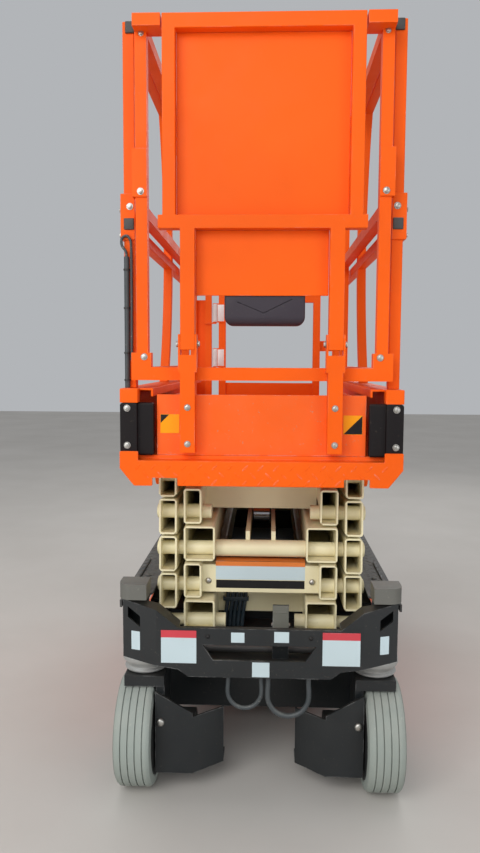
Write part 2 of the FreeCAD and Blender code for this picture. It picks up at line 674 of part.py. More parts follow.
# Cables that hang in a loop under the nose, by points chosen by hand
CABLE_THICK = {"left": 12, "right": 14}
CABLES = {
    "left": [
        (-85, -848, 392), (-85, -848, 368.5), (-87, -850, 344.5), (-85, -849, 321), (-68, -848, 297),
        (-40, -847, 288), (-12, -848, 297), (5, -849, 321), (7, -850, 344.5), (5, -848, 368.5),
        (5, -848, 392),
    ],
    "right": [
        (25, -852, 392), (25, -852, 365.5), (23, -854, 337.5), (25, -854, 309), (46, -853, 280),
        (80, -852, 269), (114, -853, 280), (135, -854, 309), (137, -854, 337.5), (135, -852, 365.5),
        (135, -852, 392),
    ],
}


# Chassis
def nose():
    """Front plate bent back at both sides, with its slot, corner windows and flanges."""
    back = "nose_y + nose_depth"

    def plan(name, shift, ends):
        """What lies behind the bent front, shift further back."""
        half = [("nose_half", back), ("nose_half", "wing_y"), ("wing_x", "nose_y")]
        points = [(across, f"{along} + {shift}") for across, along in half]
        return prism(name, "z", ends, points + [(minus(across), up) for across, up in reversed(points)])

    def front(name, inset, low):
        """The outline seen from the front, inset from its top and sides."""
        half = low + [(f"nose_half - {inset}", f"nose_high - {inset}"),
                      ("shoulder_x", f"nose_shoulder - {inset}"), ("nose_flat", f"nose_mid - {inset}")]
        points = half + [(minus(across), up) for across, up in reversed(half)]
        return prism(name, "y", ("nose_y - plate", f"{back} + 2 * plate"), points)

    ends = ("nose_low - 2 * plate", "nose_high + plate")
    skin = common("NoseSkin", front("NoseFront", "0", [
        ("nose_low_half", "nose_low"), ("nose_flat", "nose_step"), ("wing_x", "nose_bend_low"),
        ("nose_half", "nose_wing_low"),
    ]), plan("NosePlan", "0", ends))
    hollow = common("NoseHollow", front("NoseInner", "plate", [("nose_half - plate", "nose_low - plate")]),
                    plan("NosePlanInner", "plate", ends))
    slot = prism("NoseSlot", "y", ("nose_y - plate", "nose_y + 2 * plate"), [
        (minus("slot_low_half"), "slot_low"), ("slot_low_half", "slot_low"),
        ("slot_high_half", "slot_high"), (minus("slot_high_half"), "slot_high"),
    ])
    window = prism("NoseWindow", "y", ("nose_y - plate", "wing_y + 2 * plate"), [
        ("window_in", "window_low"), ("window_out", "window_low + window_rise"),
        ("window_out", "window_high + window_rise"), ("window_in", "window_high"),
    ])
    trim = block("NoseTrim", ("-nose_flat", "nose_flat"), ("nose_y + 2 * plate", f"{back} + plate"),
                 ("nose_mid - 2 * plate", "nose_mid + plate"))
    return cut("Nose", skin, [hollow, slot, trim, both_sides("NoseWindows", window)])


def front_frame():
    """Nose, steer beam, neck and the ears of the front pivots."""
    beam = block("SteerBeam", ("plate - nose_half", "nose_half - plate"), ("beam_front_y", BEAM_BACK),
                 ("beam_low", BEAM_TOP))
    tie = block("NoseTie", ("-nose_low_half", "nose_low_half"), ("nose_y + plate", "beam_front_y"),
                ("beam_low", BEAM_TOP))
    bracket = block("NoseBracket", ("bracket_left", "bracket_right"),
                    ("beam_front_y - 2 * plate", "beam_front_y - plate"), ("beam_low", "bracket_high"))
    glands = []
    for side, points in CABLES.items():
        for number, end in enumerate((points[0], points[-1])):
            glands.append(rod(f"Gland{side.title()}{number}", "z", ("beam_low - gland_high", "beam_low"),
                              end[:2], "gland_radius"))
    neck = block("Neck", (minus(EAR_OUT), EAR_OUT), ("front_axle_y", "bulkhead_y"), ("beam_low", BEAM_TOP))
    ear_top = rod("EarRound", "x", ("ear_in", EAR_OUT), ("pin_front_y", "pin_low_z"), "ear_radius")
    ear_leg = block("EarLeg", ("ear_in", EAR_OUT), ("pin_front_y - clear_gap", BEAM_BACK),
                    ("beam_low", "pin_low_z"))
    ears = both_sides("Ears", fuse("Ear", [ear_top, ear_leg]))
    solid = fuse("FrontSolid", [nose(), beam, tie, bracket, neck, ears] + glands)
    foot_bore = rod("FootBore", "x", ("ear_in - plate", f"{EAR_OUT} + plate"),
                    ("pin_front_y", "pin_low_z"), "foot_radius + run_gap")
    kingpin_bore = rod("BeamBore", "z", ("beam_low - plate", f"{BEAM_TOP} + plate"),
                       ("kingpin_x", "front_axle_y"), "kingpin_radius + run_gap")
    return cut("FrontFrame", solid, [both_sides("FootBores", foot_bore),
                                     both_sides("BeamBores", kingpin_bore)])


def spine():
    """Trough between the trays, its bulkheads, tray lugs and the hangers of the floor guards."""
    floor = block("SpineFloor", ("-spine_half", "spine_half"), ("bulkhead_y", REAR_WALL_BACK),
                  ("floor_low", "floor_low + plate"))
    wall = block("SpineWall", ("spine_half - plate", "spine_half"), ("bulkhead_y", REAR_WALL_BACK),
                 ("floor_low", TRACK_LOW))
    front_wall = block("FrontBulkhead", ("-bulkhead_half", "bulkhead_half"),
                       ("bulkhead_y", "bulkhead_y + plate"), ("floor_low", TRACK_LOW))
    rear_wall = block("RearBulkhead", ("-bulkhead_half", "bulkhead_half"),
                      ("rear_bulkhead_y", REAR_WALL_BACK), ("floor_low", TRACK_LOW))
    hangers = []
    for name, low in (("Front", "bulkhead_y"), ("Rear", "rear_bulkhead_y")):
        hangers.append(block(
            f"Hanger{name}", ("hole_guard_x - 4 * hole_guard_pin", "hole_guard_x + 2 * hole_guard_pin"),
            (low, f"{low} + plate"), ("hole_guard_z - 2 * hole_guard_pin", "floor_low + 3 * plate"),
        ))
    solid = fuse("SpineSolid", [floor, both_sides("SpineWalls", wall), front_wall, rear_wall,
                                both_sides("SpineLugs", fuse("SpineLug", [tray_lugs()] + hangers))])
    pivot = rod("HangerBore", "y", ("bulkhead_y - plate", f"{REAR_WALL_BACK} + plate"),
                ("hole_guard_x", "hole_guard_z"), "hole_guard_pin + run_gap")
    return cut("Spine", solid, [both_sides("HangerBores", pivot)])


def slide_track():
    """C section that the lowest shoe runs in, open towards the middle."""
    web = f"{SHOE_OUT} + clear_gap"
    outer = TRACK_OUT
    lip_in = "shoe_in + lip_back"
    lip = f"{TRACK_LOW} + track_thick + shoe_high + seat_gap"
    return prism("SlideTrack", "y", (f"{BEAM_BACK} + seat_gap", "tail_y - plate - seat_gap"), [
        ("ear_in", TRACK_LOW), (outer, TRACK_LOW), (outer, f"{lip} + channel_web"),
        (lip_in, f"{lip} + channel_web"), (lip_in, lip), (web, lip),
        (web, "track_top"), ("ear_in", "track_top"),
    ])


def rear_axle():
    """Axle box with the stubs of the rear wheels, and its two legs."""
    leg_front, leg_back = f"{REAR_AXLE_Y} - axle_box_side", f"{REAR_AXLE_Y} + axle_box_side"
    leg = block("AxleLeg", (f"{AXLE_HALF} - heavy_plate", AXLE_HALF), (leg_front, leg_back),
                ("tyre_radius", "beam_low - seat_gap"))
    box = block("RearAxleBox", (minus(AXLE_HALF), AXLE_HALF),
                (f"{REAR_AXLE_Y} - axle_box_side / 2", f"{REAR_AXLE_Y} + axle_box_side / 2"),
                ("tyre_radius - axle_box_side / 2", "tyre_radius + axle_box_side / 2"))
    stub = rod("RearStub", "x", (f"{minus(WHEEL_X)} - 4 * clear_gap", f"{WHEEL_X} + 4 * clear_gap"),
               (REAR_AXLE_Y, "tyre_radius"), "stub_radius")
    return fuse("RearAxle", [box, stub, both_sides("AxleLegs", leg)])


def rear_frame():
    """Rear deck, tail plate with its ribs, and the feet under the tracks."""
    deck_start = f"{REAR_WALL_BACK} + seat_gap"
    deck = block("RearDeck", (minus(EAR_OUT), EAR_OUT), (deck_start, "tail_y"),
                 ("beam_low", "beam_low + plate"))
    tail = block("TailPlate", (minus(TAIL_HALF), TAIL_HALF), ("tail_y - plate", "tail_y"),
                 ("tail_low", "cover_low"))
    rib = prism("TailRib", "x", (f"{AXLE_HALF} - heavy_plate", AXLE_HALF), [
        (f"{REAR_AXLE_Y} + axle_box_side + seat_gap", "beam_low"), ("tail_y", "beam_low"),
        ("tail_y", "tail_low"), ("tail_y - 4 * plate", "tail_low"),
    ])
    post = block("TrackPost", ("ear_in", EAR_OUT), (deck_start, "tail_y"),
                 ("beam_low", f"{TRACK_LOW} - seat_gap"))
    foot = block("TrackFoot", ("ear_in", "ear_in + 2 * shoe_wide"),
                 (deck_start, "tail_y"), (f"{TRACK_LOW} - plate", f"{TRACK_LOW} - seat_gap"))
    solid = fuse("RearSolid", [deck, tail, both_sides("RearSides", fuse("RearSide", [rib, post, foot]))])
    eye = rod("TieDown", "y", ("tail_y - 2 * plate", "tail_y + plate"), ("tie_down_x", "tie_down_z"),
              "tie_down_radius")
    return cut("RearFrame", solid, [both_sides("TieDowns", eye)])


# Heights of the two hinges of a tray, as lower faces
TRAY_HINGES = ["door_low + 2 * tray_lip", "door_bend - 2 * tray_lip"]


def tray_lugs():
    """Lugs with pins on the front bulkhead's edge, one for each hinge."""
    pieces = []
    for number, low in enumerate(TRAY_HINGES):
        lug = block(f"TrayLug{number}", ("bulkhead_half - plate", f"{TRAY_HINGE_X} + tray_pin"),
                    ("tray_hinge_y - tray_pin", "tray_hinge_y + 2 * tray_pin"),
                    (low, f"{low} + heavy_plate"))
        pin = rod(f"TrayPin{number}", "z", (low, f"{low} + 3 * heavy_plate"),
                  (TRAY_HINGE_X, "tray_hinge_y"), "tray_pin")
        pieces += [lug, pin]
    return fuse("TrayLugSet", pieces)


node("front_frame", front_frame())
for side, points in CABLES.items():
    node(f"cable_loop_{side}", pipe(f"CableLoop{side.title()}", points, CABLE_THICK[side]))
node("spine", spine())
node("slide_tracks", both_sides("SlideTracks", slide_track()))
node("rear_axle", rear_axle())
node("rear_frame", rear_frame())

ring_solid = rod("RingSolid", "z", ("ring_low", "beam_low - seat_gap"), ("kingpin_x", "front_axle_y"),
                 "ring_radius")
ring_bore = rod("RingBore", "z", ("ring_low - plate", "beam_low + plate"), ("kingpin_x", "front_axle_y"),
                "kingpin_radius + run_gap")
node("swivel_rings", both_sides("SwivelRings", cut("SwivelRing", ring_solid, [ring_bore])))


def side_cover():
    """Walk on cover over the right tray, with a taller skirt at the front."""
    edge = "cover_top - cover_drop"
    inside = f"{COVER_OUT} - cover_sheet"
    under = f"{edge} - 2 * cover_sheet"
    long_part = prism("CoverLong", "y", ("cap_back_y", "tail_y"), [
        ("cover_in", "cover_top - cover_sheet"), ("cover_in", "cover_top"),
        (f"{COVER_OUT} - cover_drop", edge), (COVER_OUT, f"{edge} - cover_drop / 2"),
        (COVER_OUT, "cover_low"), (inside, "cover_low"), (inside, f"{edge} - cover_drop / 2"),
        (f"{COVER_OUT} - cover_drop - cover_sheet / 2", f"{edge} - cover_sheet"),
    ])
    skirt = block("CoverSkirt", (inside, COVER_OUT), ("nose_y + nose_depth", "skirt_end_y"),
                  ("skirt_low", "cover_low + plate"))
    wall = block("CoverWall", (TRACK_OUT, inside), ("skirt_end_y - plate", "skirt_end_y"),
                 ("track_top", under))
    leg = block("CoverLeg", (f"{SHOE_OUT} + clear_gap", inside), ("tail_y - 3 * plate", "tail_y - 2 * plate"),
                ("track_top + shoe_high + plate", under))
    return fuse("SideCover", [long_part, skirt, wall, leg])


node("side_covers", both_sides("SideCovers", side_cover()))

CAP_LOW = "nose_high + seat_gap"
CAP_OUT = f"{COVER_OUT} - cap_inset"
cap_depth = ("cap_front_y", "cap_back_y - seat_gap")
cap_box = block("CapBox", ("cap_in", f"{CAP_OUT} - cap_round"), cap_depth, (CAP_LOW, "cap_high"))
cap_side = block("CapSide", ("cap_in", CAP_OUT), ("cap_front_y + cap_round", "cap_back_y - seat_gap"),
                 (CAP_LOW, "cap_high"))
cap_corner = rod("CapCorner", "z", (CAP_LOW, "cap_high"),
                 (f"{CAP_OUT} - cap_round", "cap_front_y + cap_round"), "cap_round")
node("corner_caps", both_sides("CornerCaps", fuse("CornerCap", [cap_box, cap_side, cap_corner])))


def ladder():
    """Steps between two side rails behind the rear plate."""
    rail = block("LadderRail", ("ladder_half - ladder_rail", "ladder_half"),
                 ("tail_y + seat_gap", "ladder_end_y"), ("ladder_low", "ladder_high"))
    pieces = [both_sides("LadderRails", rail)]
    for step in range(4):
        low = f"ladder_low + {step} * step_rise"
        pieces.append(block(f"Step{step}", ("-ladder_half", "ladder_half"),
                            ("tail_y + seat_gap", "ladder_end_y"), (low, f"{low} + step_thick")))
    return fuse("Ladder", pieces)


node("ladder", ladder())


# Swing out trays
def tray_door():
    """Door sheet that bends in at its top, with the eyes of its two hinges."""
    sheet_in = f"{DOOR_FACE} - door_sheet"
    lean = f"{DOOR_FACE} - door_lean"
    skin = prism("DoorSkin", "y", ("door_front_y", "door_rear_y"), [
        (sheet_in, "door_low"), (DOOR_FACE, "door_low"), (DOOR_FACE, "door_bend"),
        (lean, "door_high"), (f"{lean} - door_sheet", "door_high"), (sheet_in, "door_bend"),
    ])
    pieces = [skin]
    holes = []
    for number, low in enumerate(TRAY_HINGES):
        eye_low = f"{low} + heavy_plate + seat_gap"
        eye_high = f"{low} + 3 * heavy_plate"
        pieces.append(rod(f"DoorEye{number}", "z", (eye_low, eye_high), (TRAY_HINGE_X, "tray_hinge_y"),
                          "2 * tray_pin"))
        holes.append(rod(f"DoorHole{number}", "z", (f"{low} - plate", f"{eye_high} + plate"),
                         (TRAY_HINGE_X, "tray_hinge_y"), "tray_pin + run_gap"))
        holes.append(block(f"DoorRelief{number}", (f"{TRAY_HINGE_X} - 3 * tray_pin", f"{DOOR_FACE} + plate"),
                           ("tray_hinge_y - 3 * tray_pin", "tray_hinge_y + 3 * tray_pin"),
                           (f"{low} - seat_gap", eye_low)))
    return cut("TrayDoor", fuse("DoorSolid", pieces), holes)


def tray():
    floor = block("TrayFloor", ("tray_in", f"{DOOR_FACE} - door_sheet"), ("tray_front_y", "tray_rear_y"),
                  ("door_low + plate", "door_low + 2 * plate"))
    lip = block("TrayInnerLip", ("tray_in", "tray_in + plate"), ("tray_front_y", "tray_rear_y"),
                ("door_low + plate", "door_low + tray_lip + plate"))
    return fuse("Tray", [floor, lip])


def tray_load():
    """Batteries on one side, pump and controller on the other, as one plain block each."""
    outside = f"{DOOR_FACE} - door_lean - door_sheet - load_gap"
    return block("TrayLoad", ("tray_in + plate + load_gap", outside),
                 ("tray_front_y + load_gap", "tray_rear_y - load_gap"),
                 ("door_low + 2 * plate", "load_high"))


sided("tray", fuse("TrayWhole", [tray_door(), tray()]))
sided("tray_load", tray_load())


def hole_guard():
    """Plate under the right side that swings down when the platform rises."""
    leaf = block("GuardLeaf", ("hole_guard_x - hole_guard_wide", "hole_guard_x"),
                 ("hole_guard_front_y", "hole_guard_rear_y"),
                 ("hole_guard_z - hole_guard_thick / 2", "hole_guard_z + hole_guard_thick / 2"))
    pivot = rod("GuardPivot", "y", ("hole_guard_front_y - 4 * plate", "hole_guard_rear_y + 2 * plate"),
                ("hole_guard_x", "hole_guard_z"), "hole_guard_pin")
    return fuse("HoleGuard", [leaf, pivot])


sided("floor_guard", hole_guard())

# Scissor stack
def arm_tube(name, inner, outer, half):
    """Box section open at both ends, in the arm's own frame."""
    reach = f"({half} + tube_over)"
    solid = block(name + "Solid", (inner, outer), (minus(reach), reach), ("-tube_high / 2", "tube_high / 2"))
    hollow = block(name + "Hollow", (f"{inner} + tube_wall", f"{outer} - tube_wall"),
                   (f"-{reach} - tube_wall", f"{reach} + tube_wall"),
                   ("tube_wall - tube_high / 2", "tube_high / 2 - tube_wall"))
    return cut(name + "Tube", solid, [hollow])


def set_on_level(thing, level, tilt):
    """Turns an arm from its own frame to its stowed slope, about its middle pin."""
    thing.Placement = FreeCAD.Placement(FreeCAD.Vector(), FreeCAD.Rotation(X_AXIS, 1))
    bind(thing, Placement__Rotation__Angle=tilt)
    place(thing, "0", MIDDLE_Y, level_middle(level))


def inner_arm(level):
    """Pair of inner arms with their pins and cross members."""
    name = f"Inner{level}"
    inner = "wide_in" if level in (1, 3) else "narrow_in"
    pins = [(minus(INNER_HALF), "-inner_drop"), ("0", "0"), (INNER_HALF, "inner_drop")]
    ends = [
        f"{EAR_OUT} + pin_proud" if level == 1 else "outer_face + boss_proud + pin_proud",
        "outer_face + boss_proud + pin_proud",
        SHOE_OUT if level == 4 else "outer_face + boss_proud + pin_proud",
    ]
    pieces = [arm_tube(name, inner, "inner_face", INNER_HALF)]
    for number, (at, end) in enumerate(zip(pins, ends)):
        radius = "foot_radius" if level == 1 and number == 0 else "pin_radius"
        boss_in = f"{inner} - boss_stub"
        if number == 0 and level != 3:
            boss_in = "foot_boss_in" if level == 1 else "front_boss_in"
        pieces.append(rod(f"{name}Boss{number}", "x", (boss_in, "inner_face"), at, "boss_radius"))
        pieces.append(rod(f"{name}Pin{number}", "x", ("inner_face - tube_wall", end), at, radius))
    side = both_sides(name + "Sides", fuse(name + "Side", pieces))
    members = [side] + cross_members(name, level, inner)
    made = fuse(name + "Arm", members)
    set_on_level(made, level, INNER_TILT)
    return made


def cross_members(name, level, inner):
    """What ties the right and left arm of one level together."""
    reach = (f"-{inner}", inner)
    front = minus(INNER_HALF)
    made = []
    if level in (1, 4):
        made.append(block(name + "TiePlate", reach,
                          (f"{front} + tie_plate_y", f"{front} + tie_plate_y + tie_plate_thick"),
                          ("box_member_low", "box_member_high")))
    if level == 1:
        made.append(rod(name + "Base", "x", reach, ("base_y", "0"), "cross_radius"))
    if level == 2:
        made.append(block(name + "LabelBox", reach,
                          (f"{front} - box_member_front", f"{front} - box_member_front + box_member_deep"),
                          ("box_member_low", "box_member_high")))
    if level == 3:
        made.append(rod(name + "FrontTie", "x", reach, (front, "-inner_drop"), "cross_radius"))
        made.append(rod(name + "LugTie", "x", reach, ("lug_rear_y", "lug_tube_z"), "lug_tube_radius"))
        lug = block(name + "Lug", ("eye_half + clear_gap", "eye_half + clear_gap + lug_thick"),
                    (front, "lug_rear_y"), ("-lug_high / 2", "lug_high / 2"))
        made.append(both_sides(name + "Lugs", lug))
    if level > 1:
        made.append(rod(name + "RearTie", "x", reach, (f"{INNER_HALF} - rear_tie_y", "0"), "cross_radius"))
    return made


def outer_arm(level):
    """Pair of outer arms, which the pins of the inner arms run through."""
    name = f"Outer{level}"
    places = [(minus(OUTER_HALF), "outer_drop"), ("0", "0"), (OUTER_HALF, "-outer_drop")]
    solids = [arm_tube(name, "outer_in", "outer_face", OUTER_HALF)]
    bores = []
    for number, at in enumerate(places):
        front_top = level == 4 and number == 0
        rear_low = level == 1 and number == 2
        boss_out = "outer_face" if front_top or rear_low else "outer_face + boss_proud"
        solids.append(rod(f"{name}Boss{number}", "x", ("inner_face + 2 * seat_gap", boss_out), at,
                          "boss_radius"))
        if front_top or rear_low:
            end = f"{EAR_OUT} + pin_proud" if front_top else SHOE_OUT
            solids.append(rod(f"{name}Stub", "x", ("outer_in", end), at, "pin_radius"))
        else:
            bores.append(rod(f"{name}Bore{number}", "x", ("inner_face", "outer_face + 2 * boss_proud"), at,
                             "pin_radius + run_gap"))
    arm = cut(name + "Arm", fuse(name + "Solids", solids), bores)
    made = both_sides(name + "Pair", arm)
    set_on_level(made, level, minus(OUTER_TILT))
    return made


for stack_level in (1, 2, 3, 4):
    node(f"inner_arm_{stack_level}", inner_arm(stack_level))
    node(f"outer_arm_{stack_level}", outer_arm(stack_level))


def hose_bundle():
    """Lift hoses clipped side by side to the cross plate of the lowest inner arms."""
    face = f"(tie_plate_y - {INNER_HALF})"
    middle = f"{face} - hose_radius - seat_gap"
    hoses = []
    for number in range(HOSE_COUNT):
        across = f"hose_first + {number} * hose_pitch"
        hoses.append(rod(f"Hose{number}", "z", ("hose_low", "box_member_high"), (across, middle),
                         "hose_radius"))
    left, right = "hose_first - hose_pitch", f"hose_first + {HOSE_COUNT} * hose_pitch"
    front = f"{face} - 2 * hose_radius - seat_gap"
    clip = block("HoseClip", (left, right), (f"{front} - hose_clip / 2", f"{front} + hose_clip / 2"),
                 ("-hose_radius", "hose_radius"))
    feet = [block(f"ClipFoot{number}", (edge, f"{edge} + hose_clip"), (f"{front} - hose_clip / 2", face),
                  ("-hose_radius", "hose_radius"))
            for number, edge in enumerate((left, f"{right} - hose_clip"))]
    made = fuse("HoseBundle", hoses + [clip] + feet)
    set_on_level(made, 1, INNER_TILT)
    return made


node("hose_bundle", hose_bundle())


def slide_shoes(name, height):
    """Shoes at the rear ends of the stack, each on its pin."""
    body = block(name + "Body", ("shoe_in", SHOE_OUT),
                 (f"{REAR_PIN_Y} - shoe_long / 2", f"{REAR_PIN_Y} + shoe_long / 2"),
                 (f"{height} - shoe_high / 2", f"{height} + shoe_high / 2"))
    bore = rod(name + "Bore", "x", ("shoe_in - plate", f"{SHOE_OUT} + plate"), (REAR_PIN_Y, height),
               "pin_radius + run_gap")
    return both_sides(name, cut(name + "Shoe", body, [bore]))


node("lower_shoes", slide_shoes("LowerShoes", "pin_low_z"))
node("upper_shoes", slide_shoes("UpperShoes", TOP_PIN_Z))

# Lift cylinder, drawn along its own Y with its base eye at the origin
BASE_Y = f"({MIDDLE_Y} + base_y * cos{INNER_TILT})"
BASE_Z = f"({level_middle(1)} + base_y * sin{INNER_TILT})"
EYE_Y = f"({MIDDLE_Y} + eye_y * cos{INNER_TILT})"
EYE_Z = f"({level_middle(3)} + eye_y * sin{INNER_TILT})"
REACH = f"sqrt(({BASE_Y} - {EYE_Y})^2 + ({EYE_Z} - {BASE_Z})^2)"
SLOPE = f"atan(({EYE_Z} - {BASE_Z}) / ({BASE_Y} - {EYE_Y}))"


def set_on_line(thing):
    thing.Placement = FreeCAD.Placement(FreeCAD.Vector(), FreeCAD.Rotation(X_AXIS, -1))
    bind(thing, Placement__Rotation__Angle=minus(SLOPE))
    place(thing, "0", BASE_Y, BASE_Z)


def cylinder_barrel():
    mouth = f"rod_out - {REACH}"
    tube = rod("BarrelTube", "y", (mouth, "-cross_radius"), ("0", "0"), "barrel_radius")
    eye = rod("BarrelEye", "x", ("-eye_half", "eye_half"), ("0", "0"), "base_eye")
    bore = rod("BarrelBore", "y", (f"{mouth} - plate", "-barrel_base"), ("0", "0"),
               "rod_radius + run_gap")
    eye_bore = rod("BarrelEyeBore", "x", ("-barrel_radius - plate", "barrel_radius + plate"), ("0", "0"),
                   "cross_radius + run_gap")
    return cut("CylinderBarrel", fuse("BarrelSolid", [tube, eye]), [bore, eye_bore])


def cylinder_rod():
    shaft = rod("RodShaft", "y", (minus(REACH), "-rod_start"), ("0", "0"), "rod_radius")
    eye = rod("RodEye", "x", ("-eye_half", "eye_half"), (minus(REACH), "0"), "eye_radius")
    return fuse("CylinderRod", [shaft, eye])


barrel = node("cylinder_barrel", cylinder_barrel())
set_on_line(barrel)
piston = node("cylinder_rod", cylinder_rod())
set_on_line(piston)


# Main platform
def apron():
    """Front plate with chamfered lower corners and a notch over each column of arms."""
    half = [
        ("apron_low_half", "apron_low"), ("apron_half", "apron_bend"), ("apron_half", "apron_high"),
    ]
    points = half + [(minus(across), up) for across, up in reversed(half)]
    face = prism("ApronFace", "y", ("front_y", "front_y + apron_thick"), points)
    notch = block("ApronNotch", ("notch_in", "notch_out"), ("front_y - plate", "front_y + plate * 2"),
                  ("apron_low - plate", "notch_high"))
    shelf = block("ApronShelf", ("-apron_half", "apron_half"), ("front_y", "front_y + corner_deep"),
                  ("apron_high - apron_thick", "apron_high"))
    step = block("ApronStep", ("-deck_half", "deck_half"), ("deck_front_y - apron_thick", "deck_front_y"),
                 ("apron_high - apron_thick", "deck_top"))
    tab = block("ApronTab", ("tab_in", "apron_half"), ("front_y", "front_y + apron_thick"),
                ("apron_high", "tab_high"))
    notched = cut("Apron", face, [both_sides("ApronNotches", notch)])
    return [notched, shelf, step, both_sides("ApronTabs", tab)]


def platform_side():
    """Channel, ear and edge beam under the right side of the deck."""
    web_in = f"{SHOE_OUT} + clear_gap"
    web_out = f"{web_in} + channel_web"
    top = f"{TOP_PIN_Z} + shoe_high / 2 + seat_gap"
    low = f"{TOP_PIN_Z} - shoe_high / 2 - seat_gap"
    under = "deck_top - deck_thick"
    along = ("bulkhead_y", "deck_rear_y - plate")
    roof = block("ChannelRoof", ("ear_in + channel_web / 2", web_out), along, (top, f"{top} + channel_web"))
    web = block("ChannelWeb", (web_in, web_out), along, (f"{low} - channel_web", under))
    lip = block("ChannelLip", ("shoe_in + lip_back", web_out), along, (f"{low} - channel_web", low))
    ear = rod("TopEarRound", "x", ("ear_in", EAR_OUT), ("pin_front_y", TOP_PIN_Z), "ear_radius")
    ear_leg = block("TopEarLeg", ("ear_in", EAR_OUT),
                    ("pin_front_y - ear_radius", "pin_front_y + ear_radius"), (TOP_PIN_Z, under))
    edge = block("EdgeBeam", (web_out, "side_face - side_sheet - seat_gap"), ("deck_front_y", "deck_rear_y"),
                 ("side_low", under))
    return fuse("PlatformSide", [roof, web, lip, ear, ear_leg, edge])


def deck():
    plate = block("DeckPlate", ("-deck_half", "deck_half"), ("deck_front_y", "deck_rear_y"),
                  ("deck_top - deck_thick", "deck_top"))
    solid = fuse("DeckSolid", [plate, both_sides("PlatformSides", platform_side())] + apron())
    bore = rod("TopEarBore", "x", ("ear_in - plate", f"{EAR_OUT} + plate"), ("pin_front_y", TOP_PIN_Z),
               "pin_radius + run_gap")
    return cut("Deck", solid, [both_sides("TopEarBores", bore)])


node("platform_deck", deck())


def side_panel():
    """Deep side panel with its corner block and the channel that guides the extension."""
    front = "front_y + corner_deep"
    skin = prism("PanelSkin", "x", ("side_face - side_sheet", "side_face"), [
        (front, "apron_high + seat_gap"), ("deck_front_y + seat_gap", "apron_high + seat_gap"),
        ("deck_front_y + seat_gap", "side_low"), ("deck_rear_y", "side_low"),
        ("deck_rear_y", "side_high"), (front, "side_high"),
    ])
    flange = prism("PanelFlange", "z", ("side_high - side_sheet", "side_high"), [
        ("channel_in", front), ("channel_in", "channel_end_y"), ("rail_in", "channel_end_y"),
        ("rail_in", "deck_rear_y"), ("side_face", "deck_rear_y"), ("side_face", front),
    ])
    lip = block("PanelLip", ("channel_in", "channel_in + side_sheet"), (front, "channel_end_y"),
                ("side_high - channel_drop", "side_high"))
    corner = block("PanelCorner", ("block_in", "apron_half"), ("front_y + plate", front),
                   ("block_low", "side_high"))
    return fuse("SidePanel", [skin, flange, lip, corner])


sided("side_panel", side_panel())


def corner_cover():
    """Black cover in two depths over the right front corner."""
    back = "front_y + corner_deep - seat_gap"
    height = ("deck_top + seat_gap", "block_low - seat_gap")
    outer = block("CornerOuter", ("corner_step_x", "apron_half - seat_gap"), ("front_y + plate", back),
                  height)
    inner = block("CornerInner", ("corner_in", "corner_step_x"), ("front_y + plate + corner_step", back),
                  height)
    return fuse("CornerCover", [outer, inner])


node("corner_covers", both_sides("CornerCovers", corner_cover()))


# Cable over the tied tube, by points chosen by hand
HANK_THICK = 7
HANK_LOOP = [
    (-357, -849.5, 1515), (-358, -849.5, 1530), (-371, -849.5, 1546), (-369, -849.5, 1566),
    (-355, -849.5, 1572), (-345, -849.5, 1558), (-344, -849.5, 1530), (-344, -849, 1400),
    (-345, -849.5, 1245),
]


def side_rail():
    """Top and middle rail of the right side on a front, a bowed and a rear post."""
    across = ("rail_in", "rail_in + rail")
    foot = "side_high"
    top = block("TopRail", across, ("front_post_y", "rear_post_y + rail"), ("rail_top - rail", "rail_top"))
    middle = block("MiddleRail", across, ("front_post_y", "rear_post_y + rail"),
                   ("mid_rail_top - rail", "mid_rail_top"))
    front = block("FrontPost", across, ("front_post_y", "front_post_y + rail"), (foot, "rail_top"))
    rear = block("RearPost", across, ("rear_post_y", "rear_post_y + rail"), (foot, "rail_top"))
    chord = f"((rail_top - {foot}) / 2)"
    radius = f"(({chord}^2 + bow_deep^2) / (2 * bow_deep))"
    centre = (f"bow_y - {radius}", f"({foot} + rail_top) / 2")
    past = ("rail_in - rail", "rail_in + 2 * rail")
    ring = cut("BowRing", rod("BowOuter", "x", across, centre, f"{radius} + rail / 2"),
               [rod("BowInner", "x", past, centre, f"{radius} - rail / 2")])
    window = block("BowWindow", across, ("bow_y - 2 * bow_deep", "bow_y + rail"), (foot, "rail_top"))
    bowed = common("BowedPost", ring, window)
    sleeves = []
    for post_name, post_y in (("Front", "front_post_y"), ("Rear", "rear_post_y")):
        sleeves.append(block(f"Sleeve{post_name}", ("rail_in", "rail_in + rail + sleeve_out"),
                             (f"{post_y} - sleeve_wall", f"{post_y} + rail + sleeve_wall"),
                             ("sleeve_low", "sleeve_high")))
    return fuse("SideRail", [top, middle, front, rear, bowed] + sleeves)


sided("side_rail", side_rail())


def tied_hank():
    """Tube tied to the left front post, and the cable that loops over from its top."""
    across = "hank_in + hank_radius - rail_in - rail"
    tube = rod("HankTube", "z", ("side_high + seat_gap", "hank_high"),
               (across, "front_post_y - hank_radius - seat_gap"), "hank_radius")
    loop = pipe("HankLoop", HANK_LOOP, HANK_THICK)
    return fuse("TiedHank", [tube, loop])


node("tied_hank", tied_hank())


